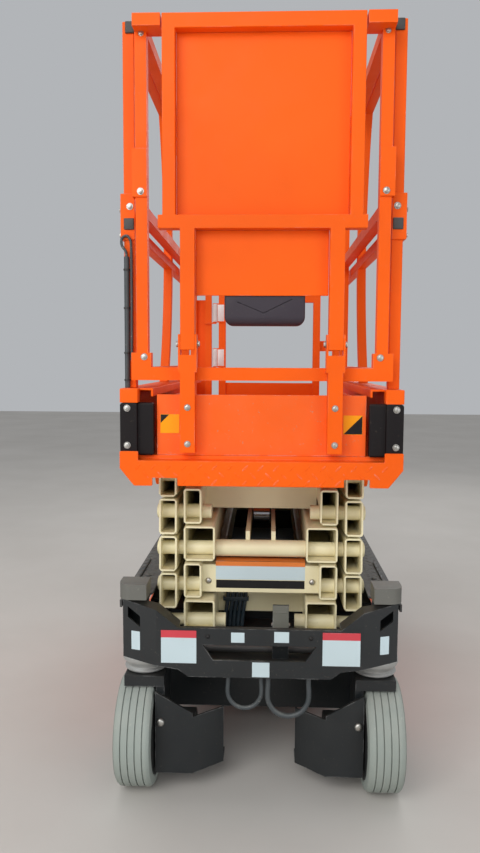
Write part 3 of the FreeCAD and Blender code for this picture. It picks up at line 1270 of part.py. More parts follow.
def rear_rails():
    """Fixed rear panel on the left, toe boards and the hinge barrels' plate."""
    infill = block("Infill", ("-rail_in - rail", "infill_edge"), ("rear_post_y + rail + seat_gap",
                   "rear_post_y + rail + side_sheet + seat_gap"), ("deck_top + plate", "infill_high"))
    post = block("HingePost", ("infill_edge - rail", "infill_edge"),
                 ("rear_post_y", "rear_post_y + rail + seat_gap"), ("deck_top", "rail_top"))
    top = block("RearTop", ("-rail_in + seat_gap", "infill_edge"), ("rear_post_y", "rear_post_y + rail"),
                ("rail_top - rail", "rail_top"))
    latch = block("LatchPlate", ("rail_in - side_sheet - seat_gap", "rail_in - seat_gap"),
                  ("rear_post_y", "rear_post_y + rail"), ("deck_top", "rail_top - rail"))
    stop = block("GateStop", ("gate_out - gate_tube", "rail_in + rail"),
                 ("rear_post_y + rail + seat_gap", "rear_post_y + rail + side_sheet + seat_gap"),
                 ("stop_low", "stop_high"))
    barrels = []
    for number, low in enumerate(("hinge_low", "hinge_high")):
        barrels.append(rod(f"HingePin{number}", "z", (low, f"{low} + hinge_long"),
                           ("gate_hinge_x", "gate_hinge_y"), "hinge_pin"))
        barrels.append(block(f"HingeLeaf{number}", ("infill_edge - rail", "gate_hinge_x + hinge_pin"),
                             ("gate_hinge_y - hinge_pin", "rear_post_y"),
                             (low, f"{low} + hinge_pin")))
    return fuse("RearRails", [infill, post, top, latch, stop] + barrels)


node("rear_rails", rear_rails())


def gate():
    """Full height gate that swings in, on two spring hinges."""
    left, right = "gate_hinge_x + hinge_barrel + clear_gap", "gate_out - clear_gap"
    depth = ("gate_hinge_y", "gate_hinge_y + gate_tube")
    pieces = [
        block("GateLeft", (left, f"{left} + gate_tube"), depth, ("gate_low", "gate_high")),
        block("GateRight", (f"{right} - gate_tube", right), depth, ("gate_low", "gate_high")),
        block("GateBoard", (left, right), ("gate_hinge_y + gate_tube / 2",
              "gate_hinge_y + gate_tube / 2 + side_sheet"), ("gate_low", "toe_high")),
    ]
    for number, height in enumerate(("gate_high - gate_tube / 2", "gate_mid")):
        pieces.append(block(f"GateBar{number}", (left, right), depth,
                            (f"{height} - gate_tube / 2", f"{height} + gate_tube / 2")))
    holes = []
    for number, low in enumerate(("hinge_low", "hinge_high")):
        barrel_low = f"{low} + hinge_pin + seat_gap"
        pieces.append(rod(f"GateBarrel{number}", "z", (barrel_low, f"{low} + hinge_long"),
                          ("gate_hinge_x", "gate_hinge_y"), "hinge_barrel"))
        pieces.append(block(f"GateLeaf{number}", ("gate_hinge_x", f"{left} + gate_tube"),
                            ("gate_hinge_y - hinge_pin", "gate_hinge_y"),
                            (barrel_low, f"{low} + hinge_long")))
        holes.append(rod(f"GateHole{number}", "z", (f"{low} - plate", f"{low} + hinge_long + plate"),
                         ("gate_hinge_x", "gate_hinge_y"), "hinge_pin + run_gap"))
    return cut("Gate", fuse("GateSolid", pieces), holes)


node("gate", gate())


# Extension deck
SLIDE_LOW = "deck_top + seat_gap"
SLIDE_TOP = f"{SLIDE_LOW} + slide_thick"
POST_BACK = "(centre_post_front_y + centre_post_deep)"


def extension_deck():
    """Sliding deck plate with its side edges and the front toe board."""
    plate = block("SlidePlate", ("-slide_half", "slide_half"), (POST_BACK, "slide_rear_y"),
                  (SLIDE_LOW, SLIDE_TOP))
    edge = block("SlideEdge", ("slide_half - side_sheet", "slide_half"), (POST_BACK, "slide_rear_y"),
                 (SLIDE_LOW, "slide_edge_high"))
    board = block("ToeBoard", ("-slide_half", "slide_half"), (POST_BACK, f"{POST_BACK} + toe_board_thick"),
                  (SLIDE_LOW, "toe_board_high"))
    return fuse("ExtensionDeck", [plate, both_sides("SlideEdges", edge), board])


node("extension_deck", extension_deck())


def extension_rails():
    """Fixed lower posts, cross rail, outer posts and side rails of the extension."""
    back = (POST_BACK, f"{POST_BACK} + rail")
    inside, outside = "centre_post_x - centre_post_wide / 2", "centre_post_x + centre_post_wide / 2"
    post = block("LowerPost", (inside, outside), ("centre_post_front_y", POST_BACK),
                 (f"{SLIDE_TOP} + clear_gap", "lower_post_top"))
    cheeks = []
    for number, edge in enumerate((f"{inside} - fold_plate", outside)):
        cheeks.append(block(f"FoldCheek{number}", (edge, f"{edge} + fold_plate"),
                            ("centre_post_front_y", POST_BACK), ("fold_plate_low", "fold_plate_high")))
    bolt = rod("FoldBolt", "x", (f"{inside} - 2 * fold_plate", f"{outside} + 2 * fold_plate"),
               (f"{POST_BACK} - centre_post_deep / 2", "fold_z"), "fold_bolt")
    across = ("slide_rail_in", "slide_rail_in + rail")
    outer = block("OuterPost", across, back, ("cross_high", "slide_rail_top"))
    socket = block("Socket", ("socket_in", "cross_half"), back, ("cross_high", "socket_high"))
    rear_depth = ("slide_rear_y - rail", "slide_rear_y")
    foot_low = "side_high + clear_gap"
    rear = block("SlideRearPost", across, rear_depth, (foot_low, "slide_rail_top"))
    foot = block("SlideRearFoot", ("slide_half - side_sheet", "slide_rail_in + rail"), rear_depth,
                 (foot_low, "cross_high - rail"))
    strut = block("SlideRearStrut", ("slide_half - side_sheet", "slide_half"), rear_depth,
                  ("slide_edge_high + seat_gap", "cross_high - rail"))
    rails = []
    for number, top in enumerate(("slide_rail_top", "slide_mid_top", "cross_high")):
        rails.append(block(f"SlideRail{number}", across, (POST_BACK, "slide_rear_y"), (f"{top} - rail", top)))
    sleeve = block("SlideSleeve", ("slide_rail_in", "slide_rail_in + rail + sleeve_out"),
                   (f"{POST_BACK} - sleeve_wall", f"{POST_BACK} + rail - sleeve_wall"),
                   ("fold_sleeve_low", "fold_sleeve_high"))
    corner = block("CornerPiece", ("corner_piece_in", "slide_rail_in + rail"),
                   ("centre_post_front_y", f"{POST_BACK} + rail"), ("top_rail_high - rail", "top_rail_high"))
    pieces = [post, bolt, outer, socket, rear, foot, strut, sleeve, corner] + cheeks + rails
    side = fuse("ExtensionSide", pieces)
    cross = block("CrossRail", ("-cross_half", "cross_half"), back, ("cross_low", "cross_high"))
    return fuse("ExtensionRails", [both_sides("ExtensionSides", side), cross])


node("extension_rails", extension_rails())


def centre_frame():
    """Folding centre frame: lower posts, middle rail, upper frame and top rail."""
    depth = ("centre_post_front_y", POST_BACK)
    fold_y = f"{POST_BACK} - centre_post_deep / 2"
    half = "centre_post_wide / 2 - seat_gap"
    post = block("FoldPost", (f"centre_post_x - ({half})", f"centre_post_x + {half}"), depth,
                 ("fold_z - fold_foot", "frame_rail_low"))
    upper = block("FramePost", ("frame_post_in", "frame_post_out"), depth,
                  ("frame_rail_high", "top_rail_high - top_rail_deep"))
    middle = block("FrameRail", ("-frame_rail_half", "frame_rail_half"), depth,
                   ("frame_rail_low", "frame_rail_high"))
    top = block("FrameTop", ("-frame_post_out", "frame_post_out"), depth,
                ("top_rail_high - top_rail_deep", "top_rail_high"))
    solid = fuse("CentreSolid", [both_sides("FoldPosts", post), both_sides("FramePosts", upper), middle, top])
    hole = rod("FoldHole", "x", ("centre_post_x - centre_post_wide", "centre_post_x + centre_post_wide"),
               (fold_y, "fold_z"), "fold_bolt + run_gap")
    return cut("CentreFrame", solid, [both_sides("FoldHoles", hole)])


node("centre_frame", centre_frame())

panel_y = ("centre_post_front_y + panel_set_back", "centre_post_front_y + panel_set_back + panel_thick")
upper_panel = block("UpperPanel", ("seat_gap - frame_post_in", "frame_post_in - seat_gap"), panel_y,
                    ("frame_rail_high + seat_gap", "top_rail_high - top_rail_deep - seat_gap"))
lower_panel = block("LowerPanel", ("seat_gap + centre_post_wide / 2 - centre_post_x",
                                   "centre_post_x - centre_post_wide / 2 - seat_gap"), panel_y,
                    ("low_panel_low", "frame_rail_low - seat_gap"))
node("frame_panels", fuse("FramePanels", [upper_panel, lower_panel]))

case_y = "centre_post_front_y + panel_set_back + panel_thick + seat_gap"
node("document_case", block("DocumentCase", ("case_left", "case_right"), (case_y, f"{case_y} + case_deep"),
                            ("case_low", "case_high")))


def check_and_write():
    """Stops at the first failed object, then writes one file for each piece."""
    doc.recompute()
    for thing in doc.Objects:
        if "Invalid" in thing.State or "Error" in thing.State:
            raise RuntimeError(f"{thing.Name}: {thing.State}")
    os.makedirs(OUT, exist_ok=True)
    for name, thing in nodes.items():
        shape = thing.Shape
        if shape.isNull() or not shape.isValid() or not shape.Solids:
            raise RuntimeError(f"{name}: no valid solid")
    for name, thing in nodes.items():
        thing.Shape.exportStep(os.path.join(OUT, name + ".step"))
    print(len(nodes), "pieces written")


check_and_write()
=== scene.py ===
import json
import math

import bpy
from mathutils import Matrix, Vector


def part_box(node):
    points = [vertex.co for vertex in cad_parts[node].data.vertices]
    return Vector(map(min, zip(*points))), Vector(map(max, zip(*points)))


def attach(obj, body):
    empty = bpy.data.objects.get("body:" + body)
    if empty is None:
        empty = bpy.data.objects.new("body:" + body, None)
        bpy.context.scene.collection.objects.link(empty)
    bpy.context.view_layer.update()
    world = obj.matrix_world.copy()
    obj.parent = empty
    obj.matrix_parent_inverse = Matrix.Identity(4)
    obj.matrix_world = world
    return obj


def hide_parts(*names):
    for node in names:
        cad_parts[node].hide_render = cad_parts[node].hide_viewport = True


# Looks of a slab scissor lift. Blender works in metres, with X to the right seen from the
# front, Y towards the ladder and Z up from the floor. Sizes and places in this file are in
# millimetres, apart from those of the camera, the floor and the lights.
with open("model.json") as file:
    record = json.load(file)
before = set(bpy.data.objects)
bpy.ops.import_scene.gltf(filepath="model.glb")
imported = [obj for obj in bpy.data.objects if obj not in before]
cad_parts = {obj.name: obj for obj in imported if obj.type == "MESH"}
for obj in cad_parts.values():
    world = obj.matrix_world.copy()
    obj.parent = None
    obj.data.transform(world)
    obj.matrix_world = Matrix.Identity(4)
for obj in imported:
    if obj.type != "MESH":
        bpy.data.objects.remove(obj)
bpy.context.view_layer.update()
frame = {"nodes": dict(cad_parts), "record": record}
nodes = frame["nodes"]
bodies = frame["record"]["behaviour"]["bodies"]
body_of = {node: body for body, names in bodies.items() for node in names}
MM = 0.001
SAME_PLACE = 0.02 * MM
QUARTER_TURN = math.pi / 2
SHARP_EDGE = math.radians(40)
FLAT_FACE = math.radians(0.3)
SIDES = (("left", -1), ("right", 1))
MIRRORED = {"left": "right", "right": "left"}

# Camera, from the vanishing lines of the photograph
CAMERA_PLACE = (0.019, -2.786, 1.242)
CAMERA_LENS = 30.79
CAMERA_SENSOR = 36
CAMERA_NEAR = 0.05
CAMERA_YAW = math.radians(2.22)
CAMERA_PITCH = math.radians(5.06)
CAMERA_ROLL = math.radians(0.29)

# Colours of coats, linear
ORANGE = (0.92, 0.118, 0.004, 1)
CREAM = (0.83, 0.76, 0.50, 1)
CHARCOAL = (0.009, 0.012, 0.014, 1)
PLASTIC = (0.045, 0.045, 0.045, 1)
CAP_GREY = (0.13, 0.13, 0.115, 1)
COVER_BLACK = (0.007, 0.005, 0.006, 1)
PAD_GREY = (0.50, 0.50, 0.47, 1)
CAST = (0.47, 0.48, 0.47, 1)
ROD_CHROME = (0.50, 0.50, 0.52, 1)
LINK_GREY = (0.10, 0.10, 0.10, 1)
SPRING_ZINC = (0.78, 0.78, 0.76, 1)
BATTERY_BLACK = (0.05, 0.05, 0.055, 1)
TYRE_GREY = (0.30, 0.34, 0.31, 1)
BOLT_ZINC = (0.50, 0.49, 0.46, 1)
CASE_GREY = (0.038, 0.030, 0.041, 1)
BRACKET_GREY = (0.15, 0.15, 0.125, 1)
LABEL_WHITE = (0.56, 0.68, 0.72, 1)
LABEL_RED = (0.62, 0.05, 0.07, 1)
LABEL_AMBER = (0.75, 0.20, 0.03, 1)
SIGNAL_YELLOW = (0.95, 0.35, 0.003, 1)
BLACK = (0.008, 0.008, 0.009, 1)
HOSE_BLUE = (0.020, 0.036, 0.050, 1)
CABLE_GREY = (0.040, 0.050, 0.056, 1)
TIE_BLACK = (0.02, 0.02, 0.02, 1)
FLOOR_DARK = (0.54, 0.51, 0.47, 1)
FLOOR_PALE = (0.60, 0.57, 0.53, 1)

# Colours of what wear lays bare, and of dust
STEEL = (0.55, 0.55, 0.54, 1)
WORN_CREAM = (0.34, 0.27, 0.16, 1)
WORN_BLACK = (0.10, 0.10, 0.10, 1)
WORN_CAP = (0.2, 0.2, 0.19, 1)
WORN_COVER = (0.06, 0.06, 0.06, 1)
WORN_TYRE = (0.42, 0.45, 0.41, 1)
WORN_ZINC = (0.30, 0.28, 0.25, 1)
WORN_CASE = (0.14, 0.12, 0.14, 1)
WORN_LABEL = (0.6, 0.6, 0.58, 1)
WORN_HOSE = (0.10, 0.12, 0.14, 1)
WORN_CABLE = (0.12, 0.13, 0.14, 1)
FADED = (0.80, 0.77, 0.74, 1)
DUST = (0.36, 0.29, 0.21, 1)
PALE_DUST = (0.55, 0.53, 0.47, 1)

# Patterns of the coat: how many fit in a metre
PATCHES_PER_METRE = 2.6
GRIME_PER_METRE = 14.0
SPECKS_PER_METRE = 120.0
PEEL_PER_METRE = 420.0

# Ranges over which a pattern fades, chips, dusts or roughens the coat, an edge wears as it bends
# more sharply, and a face gathers dust as it looks further up
FADE_RANGE = (0.38, 0.66)
CHIP_RANGE = (0.50, 0.60)
DUST_RANGE = (0.32, 0.72)
SPECK_RANGE = (0.66, 0.74)
ROUGH_RANGE = (0.3, 0.7)
BEND_RANGE = (0.995, 0.90)
UPWARD_RANGE = (0.15, 0.9)

# How strong these are, how wide a worn edge is and how deep the relief
FADING = 0.55
DUST_ON_WALLS = 0.12
ROUGH_CHANGE = (-0.05, 0.10)
ROUGH_OF_DUST = 0.35
CHIP_DEPTH = 0.6
WORN_EDGE = 3.5
BUMP_DEPTH = 0.6

# Turns that bring a piece facing the camera, towards -Y, to face each way
FACING = {
    "front": Matrix.Identity(4),
    "back": Matrix.Rotation(math.pi, 4, "Z"),
    "right": Matrix.Rotation(QUARTER_TURN, 4, "Z"),
    "left": Matrix.Rotation(-QUARTER_TURN, 4, "Z"),
    "up": Matrix.Rotation(-QUARTER_TURN, 4, "X"),
}


# Shader helpers
def shader(tree, kind, settings=None, **inputs):
    """A shader node: a socket is linked, a number or colour is set; i0 is the first input."""
    made = tree.nodes.new("ShaderNode" + kind)
    for name, value in (settings or {}).items():
        setattr(made, name, value)
    for name, value in inputs.items():
        numbered = name[0] == "i" and name[1:].isdigit()
        place = made.inputs[int(name[1:]) if numbered else name]
        if isinstance(value, bpy.types.NodeSocket):
            tree.links.new(value, place)
        else:
            place.default_value = value
    return made


def shader_group(name, inputs, outputs):
    """An empty node group with named sockets, and its input and output nodes."""
    tree = bpy.data.node_groups.new(name, "ShaderNodeTree")
    for label, kind, value in inputs:
        socket = tree.interface.new_socket(label, in_out="INPUT", socket_type="NodeSocket" + kind)
        socket.default_value = value
    for label, kind in outputs:
        tree.interface.new_socket(label, in_out="OUTPUT", socket_type="NodeSocket" + kind)
    return tree, tree.nodes.new("NodeGroupInput"), tree.nodes.new("NodeGroupOutput")


def noise(tree, where, scale, detail, roughness=0.55):
    return shader(tree, "TexNoise", Vector=where, Scale=scale, Detail=detail,
                  Roughness=roughness).outputs["Fac"]


def remap(tree, value, low, high, to_low=0.0, to_high=1.0):
    return shader(tree, "MapRange", i0=value, i1=low, i2=high, i3=to_low,
                  i4=to_high).outputs["Result"]


def maths(tree, what, first, second):
    return shader(tree, "Math", {"operation": what}, i0=first, i1=second).outputs["Value"]


def blended(tree, share, first, second, how="MIX"):
    return shader(tree, "MixRGB", {"blend_type": how}, i0=share, i1=first,
                  i2=second).outputs["Color"]


def weathered_group():
    """Colour, roughness and height of a coat with faded patches, worn edges and settled dust."""
    tree, given, result = shader_group("Weathered coat", [
        ("Coat", "Color", ORANGE), ("Worn", "Color", STEEL), ("Dust", "Color", DUST),
        ("Edge wear", "Float", 0.3), ("Dustiness", "Float", 0.3), ("Roughness", "Float", 0.4),
        ("Peel", "Float", 0.3),
    ], [("Color", "Color"), ("Roughness", "Float"), ("Height", "Float")])
    coat, dust, dustiness = (given.outputs[name] for name in ("Coat", "Dust", "Dustiness"))
    where = shader(tree, "TexCoord").outputs["Object"]
    patches = noise(tree, where, PATCHES_PER_METRE, detail=3.0)
    grime = noise(tree, where, GRIME_PER_METRE, detail=8.0, roughness=0.68)
    specks = noise(tree, where, SPECKS_PER_METRE, detail=3.0)
    peel = noise(tree, where, PEEL_PER_METRE, detail=2.0)
    facing = shader(tree, "NewGeometry").outputs["Normal"]
    rounded = shader(tree, "Bevel", {"samples": 4}, Radius=WORN_EDGE * MM).outputs["Normal"]
    bend = shader(tree, "VectorMath", {"operation": "DOT_PRODUCT"}, i0=rounded,
                  i1=facing).outputs["Value"]
    edge = remap(tree, bend, *BEND_RANGE)
    chips = maths(tree, "MULTIPLY", edge, remap(tree, grime, *CHIP_RANGE))
    chips = maths(tree, "MULTIPLY", chips, given.outputs["Edge wear"])
    upward = shader(tree, "SeparateXYZ", i0=facing).outputs["Z"]
    settled = maths(tree, "MULTIPLY", remap(tree, upward, *UPWARD_RANGE, DUST_ON_WALLS, 1.0),
                    remap(tree, grime, *DUST_RANGE))
    settled = maths(tree, "MULTIPLY", settled, dustiness)
    dark = blended(tree, 1.0, coat, FADED, "MULTIPLY")
    colour = blended(tree, remap(tree, patches, *FADE_RANGE, 0.0, FADING), coat, dark)
    specks = maths(tree, "MULTIPLY", remap(tree, specks, *SPECK_RANGE), dustiness)
    colour = blended(tree, specks, colour, dust)
    colour = blended(tree, chips, colour, given.outputs["Worn"])
    colour = blended(tree, settled, colour, dust)
    tree.links.new(colour, result.inputs["Color"])
    rough = maths(tree, "ADD", given.outputs["Roughness"],
                  remap(tree, grime, *ROUGH_RANGE, *ROUGH_CHANGE))
    rough = maths(tree, "ADD", rough, maths(tree, "MULTIPLY", settled, ROUGH_OF_DUST))
    tree.links.new(rough, result.inputs["Roughness"])
    height = maths(tree, "MULTIPLY", peel, given.outputs["Peel"])
    height = maths(tree, "SUBTRACT", height, maths(tree, "MULTIPLY", chips, CHIP_DEPTH))
    tree.links.new(height, result.inputs["Height"])
    return tree


COAT = weathered_group()


def coated(name, coat, worn=STEEL, dust=DUST, edge_wear=0.3, dustiness=0.3, roughness=0.4,
           peel=0.3, metallic=0.0, bump=0.12, shine=0.5):
    """A material that puts the weathered coat on a Principled shader."""
    material = bpy.data.materials.new(name)
    material.use_nodes = True
    tree = material.node_tree
    tree.nodes.clear()
    look = tree.nodes.new("ShaderNodeGroup")
    look.node_tree = COAT
    values = {"Coat": coat, "Worn": worn, "Dust": dust, "Edge wear": edge_wear,
              "Dustiness": dustiness, "Roughness": roughness, "Peel": peel}
    for label, value in values.items():
        look.inputs[label].default_value = value
    bumped = shader(tree, "Bump", Strength=bump, Distance=BUMP_DEPTH * MM,
                    Height=look.outputs["Height"])
    skin = tree.nodes.new("ShaderNodeBsdfPrincipled")
    skin.inputs["Metallic"].default_value = metallic
    skin.inputs["Specular IOR Level"].default_value = shine
    tree.links.new(look.outputs["Color"], skin.inputs["Base Color"])
    tree.links.new(look.outputs["Roughness"], skin.inputs["Roughness"])
    tree.links.new(bumped.outputs["Normal"], skin.inputs["Normal"])
    out = tree.nodes.new("ShaderNodeOutputMaterial")
    tree.links.new(skin.outputs["BSDF"], out.inputs["Surface"])
    material.diffuse_color = coat
    return material


finish = {
    "orange_paint": coated("Orange paint", ORANGE, dustiness=0.08, roughness=0.45, edge_wear=0.2,
                           shine=0.14),
    "orange_deck": coated("Orange deck paint", ORANGE, dustiness=0.45, roughness=0.5,
                          edge_wear=0.6, shine=0.3),
    "cream_paint": coated("Cream paint", CREAM, worn=WORN_CREAM, dustiness=0.16, roughness=0.36,
                          shine=0.4),
    "dark_paint": coated("Charcoal paint", CHARCOAL, dustiness=0.10, roughness=0.42, peel=0.5),
    "dark_plastic": coated("Black plastic", PLASTIC, worn=WORN_BLACK, dust=PALE_DUST,
                           dustiness=0.25, roughness=0.55, peel=1.0, bump=0.35),
    "cap_plastic": coated("Grey cap plastic", CAP_GREY, worn=WORN_CAP, dust=PALE_DUST,
                          dustiness=0.2, roughness=0.55, peel=1.0, bump=0.35),
    "cover_black": coated("Moulded black plastic", COVER_BLACK, worn=WORN_COVER, dustiness=0.08,
                          roughness=0.55, peel=0.8, bump=0.3, shine=0.2),
    "shoe_plastic": coated("Slide pad plastic", PAD_GREY, roughness=0.5, peel=0.4),
    "ring_metal": coated("Cast aluminium", CAST, dustiness=0.20, roughness=0.46, metallic=0.55,
                         peel=1.0, bump=0.5),
    "polished_rod": coated("Polished rod", ROD_CHROME, dustiness=0.05, roughness=0.16,
                           metallic=1.0, edge_wear=0.0, peel=0.02),
    "linkage_grey": coated("Steering link paint", LINK_GREY, metallic=0.4, edge_wear=0.5),
    "bright_zinc": coated("Bright spring zinc", SPRING_ZINC, dustiness=0.05, metallic=0.1),
    "battery": coated("Battery case", BATTERY_BLACK, dustiness=0.4, roughness=0.6, peel=0.6),
    "grey_tyre": coated("Grey rubber", TYRE_GREY, worn=WORN_TYRE, dust=PALE_DUST, dustiness=0.35,
                        roughness=0.72, edge_wear=0.5, peel=1.0, bump=0.4),
    "rim_paint": coated("Black rim paint", CHARCOAL, dustiness=0.35, roughness=0.45,
                        edge_wear=0.5),
    "zinc": coated("Zinc plate", BOLT_ZINC, worn=WORN_ZINC, dustiness=0.1, roughness=0.36,
                   metallic=1.0, peel=0.5),
    "case_grey": coated("Grey case plastic", CASE_GREY, worn=WORN_CASE, dustiness=0.08,
                        roughness=0.5, peel=0.8, bump=0.3, shine=0.3),
    "bracket_grey": coated("Dusty bracket paint", BRACKET_GREY, dust=PALE_DUST, dustiness=0.4,
                           roughness=0.5, edge_wear=0.6),
    "label_white": coated("White plate", LABEL_WHITE, worn=WORN_LABEL, dustiness=0.15,
                          roughness=0.45, edge_wear=0.2, peel=0.1, shine=0.3),
    "label_red": coated("Red stripe", LABEL_RED, worn=LABEL_WHITE, dustiness=0.10,
                        roughness=0.35, peel=0.1),
    "label_amber": coated("Amber stripe", LABEL_AMBER, worn=LABEL_WHITE, dustiness=0.10,
                          roughness=0.35, peel=0.1),
    "signal_yellow": coated("Yellow stripe", SIGNAL_YELLOW, worn=BLACK, dustiness=0.1,
                            roughness=0.35, peel=0.1, shine=0.25),
    "black_film": coated("Black stripe", BLACK, worn=WORN_BLACK, dustiness=0.10, roughness=0.35,
                         peel=0.1, shine=0.3),
    "hose_skin": coated("Hose skin", HOSE_BLUE, worn=WORN_HOSE, dust=PALE_DUST, dustiness=0.2,
                        roughness=0.34, shine=0.6),
    "cable_skin": coated("Cable skin", CABLE_GREY, worn=WORN_CABLE, dust=PALE_DUST,
                         roughness=0.45, edge_wear=0.0, peel=0.6),
    "tie_band": coated("Nylon tie", TIE_BLACK, worn=WORN_BLACK, dustiness=0.1),
}


# Modelling helpers
def deselect():
    bpy.ops.object.select_all(action="DESELECT")


def only(piece):
    """Selects one object and makes it the active one."""
    deselect()
    piece.select_set(True)
    bpy.context.view_layer.objects.active = piece


def edit_mesh(pick_by=None, select=None):
    """Enters edit mode, and may change what is picked and select all or nothing."""
    bpy.ops.object.mode_set(mode="EDIT")
    if pick_by:
        bpy.ops.mesh.select_mode(type=pick_by)
    if select:
        bpy.ops.mesh.select_all(action=select)


def leave_mesh():
    bpy.ops.object.mode_set(mode="OBJECT")


def settle(piece):
    """Moves the place of an object into its mesh."""
    only(piece)
    bpy.ops.object.transform_apply(location=True, rotation=True, scale=True)
    return piece


def modify(piece, kind, **values):
    """Adds a modifier and applies it."""
    modifier = piece.modifiers.new(kind.title(), kind)
    for name, value in values.items():
        setattr(modifier, name, value)
    only(piece)
    bpy.ops.object.modifier_apply(modifier=modifier.name)
    return piece


def cut(piece, cutter):
    """Takes a cutter's shape out of a piece and removes the cutter."""
    modify(piece, "BOOLEAN", operation="DIFFERENCE", object=cutter)
    bpy.data.objects.remove(cutter)


def block(middle, size):
    """A box with sharp edges, from its middle and size in metres."""
    deselect()
    bpy.ops.mesh.primitive_cube_add(size=1, location=middle)
    piece = bpy.context.object
    piece.scale = size
    return settle(piece)


def slab(low, high, edge, segments=2):
    """A box between two corners, with rounded edges."""
    low, high = Vector(low) * MM, Vector(high) * MM
    piece = block((low + high) / 2, high - low)
    return modify(piece, "BEVEL", width=edge * MM, segments=segments, limit_method="ANGLE")


def side_slab(side, low, high, edge, segments=2):
    """A slab whose corners are given for the right side, on either side."""
    left, right = sorted((side * low[0], side * high[0]))
    return slab((left, *low[1:]), (right, *high[1:]), edge, segments)


def turned(profile, centre, facing="front", steps=48):
    """Pairs of (height above the seat, radius), spun about the way the piece faces."""
    deselect()
    bpy.ops.mesh.primitive_plane_add(size=MM)
    piece = bpy.context.object
    edit_mesh("VERT", "SELECT")
    bpy.ops.mesh.merge(type="CENTER")
    height, radius = profile[0]
    bpy.ops.transform.translate(value=(radius * MM, -height * MM, 0))
    for after_height, after_radius in profile[1:]:
        step = ((after_radius - radius) * MM, (height - after_height) * MM, 0)
        bpy.ops.mesh.extrude_region_move(TRANSFORM_OT_translate={"value": step})
        height, radius = after_height, after_radius
    bpy.ops.mesh.select_all(action="SELECT")
    bpy.ops.mesh.spin(steps=steps, angle=2 * math.pi, center=(0, 0, 0), axis=(0, 1, 0))
    bpy.ops.mesh.select_all(action="SELECT")
    bpy.ops.mesh.remove_doubles(threshold=SAME_PLACE)
    bpy.ops.mesh.normals_make_consistent(inside=False)
    leave_mesh()
    piece.matrix_world = Matrix.Translation(Vector(centre) * MM) @ FACING[facing]
    return settle(piece)


def tube_along(name, route, thick, order, steps):
    """A round tube, still a curve, on the smooth spline of a route in metres."""
    line = bpy.data.curves.new(name, "CURVE")
    line.dimensions = "3D"
    run = line.splines.new("NURBS")
    run.points.add(len(route) - 1)
    for point, place in zip(run.points, route):
        point.co = (*place, 1)
    run.order_u = order
    run.use_endpoint_u = True
    line.resolution_u = steps
    line.bevel_depth = thick / 2 * MM
    line.bevel_resolution = 5
    line.use_fill_caps = True
    piece = bpy.data.objects.new(name, line)
    bpy.context.collection.objects.link(piece)
    return piece


def copy_at(master, place, facing, size, twist=0.0):
    """A copy of a master piece with its own mesh; size is its radius in metres."""
    piece = master.copy()
    piece.data = master.data.copy()
    bpy.context.collection.objects.link(piece)
    piece.matrix_world = (Matrix.Translation(Vector(place) * MM) @ FACING[facing]
                          @ Matrix.Rotation(twist, 4, "Y") @ Matrix.Scale(size, 4))
    return piece


def lean(piece, pivot, angle, axis):
    """Turns a piece by an angle about an axis through a place."""
    pivot = Vector(pivot) * MM
    piece.matrix_world = (Matrix.Translation(pivot) @ Matrix.Rotation(angle, 4, axis)
                          @ Matrix.Translation(-pivot))
    settle(piece)


def joined(pieces):
    deselect()
    for piece in pieces:
        piece.select_set(True)
    bpy.context.view_layer.objects.active = pieces[0]
    if len(pieces) > 1:
        bpy.ops.object.join()
    return settle(pieces[0])


def hand_over(piece, name, look, body, smooth=35):
    """Names a finished piece, gives it its look and lets it ride on its body."""
    piece.name = name
    piece.data.name = name
    piece.data.materials.clear()
    piece.data.materials.append(finish[look])
    only(piece)
    bpy.ops.object.shade_smooth_by_angle(angle=math.radians(smooth))
    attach(piece, body)
    return piece


# Finish of the CAD nodes: how round their edges are, by slot, and looks other than the slot's
EDGE_ROUND = {
    "orange_paint": 2.2, "orange_deck": 1.2, "cream_paint": 2.0, "dark_paint": 1.2,
    "dark_plastic": 5.0, "shoe_plastic": 3.0, "ring_metal": 2.0, "polished_rod": 1.0,
    "battery": 6.0, "grey_tyre": 3.0, "rim_paint": 1.5, "cable_skin": 0.5,
}
NODE_LOOK = {"document_case": "case_grey", "corner_covers": "cover_black",
             "corner_caps": "cap_plastic", "tie_rod": "linkage_grey"}


def soften(thing, width):
    """Live modifiers that round the sharp edges and keep the flat faces flat."""
    bevel = thing.modifiers.new("Bevel", "BEVEL")
    bevel.width = width * MM
    bevel.segments = 2
    bevel.limit_method = "ANGLE"
    bevel.angle_limit = SHARP_EDGE
    flatten = thing.modifiers.new("Flat faces", "WEIGHTED_NORMAL")
    flatten.mode = "FACE_AREA_WITH_ANGLE"


def dress_nodes():
    for row in frame["record"]["subparts"]:
        name, slot = row["node"], row["material_slot"]
        thing = nodes[name]
        thing.data.materials.clear()
        thing.data.materials.append(finish[NODE_LOOK.get(name, slot)])
        weld = thing.modifiers.new("Weld", "WELD")
        weld.merge_threshold = SAME_PLACE
        soften(thing, EDGE_ROUND[slot])
        for face in thing.data.polygons:
            face.use_smooth = True


# Supply cables that hang under the steer beam: thickness, length of cable and route
CABLES = {
    "left": (12, 256, [(-85, -848, 392), (-85, -848, 368.5), (-87, -850, 344.5), (-85, -849, 321),
                       (-68, -848, 297), (-40, -847, 288), (-12, -848, 297), (5, -849, 321),
                       (7, -850, 344.5), (5, -848, 368.5), (5, -848, 392)]),
    "right": (14, 305, [(25, -852, 392), (25, -852, 365.5), (23, -854, 337.5), (25, -854, 309),
                        (46, -853, 280), (80, -852, 269), (114, -853, 280), (135, -854, 309),
                        (137, -854, 337.5), (135, -852, 365.5), (135, -852, 392)]),
}


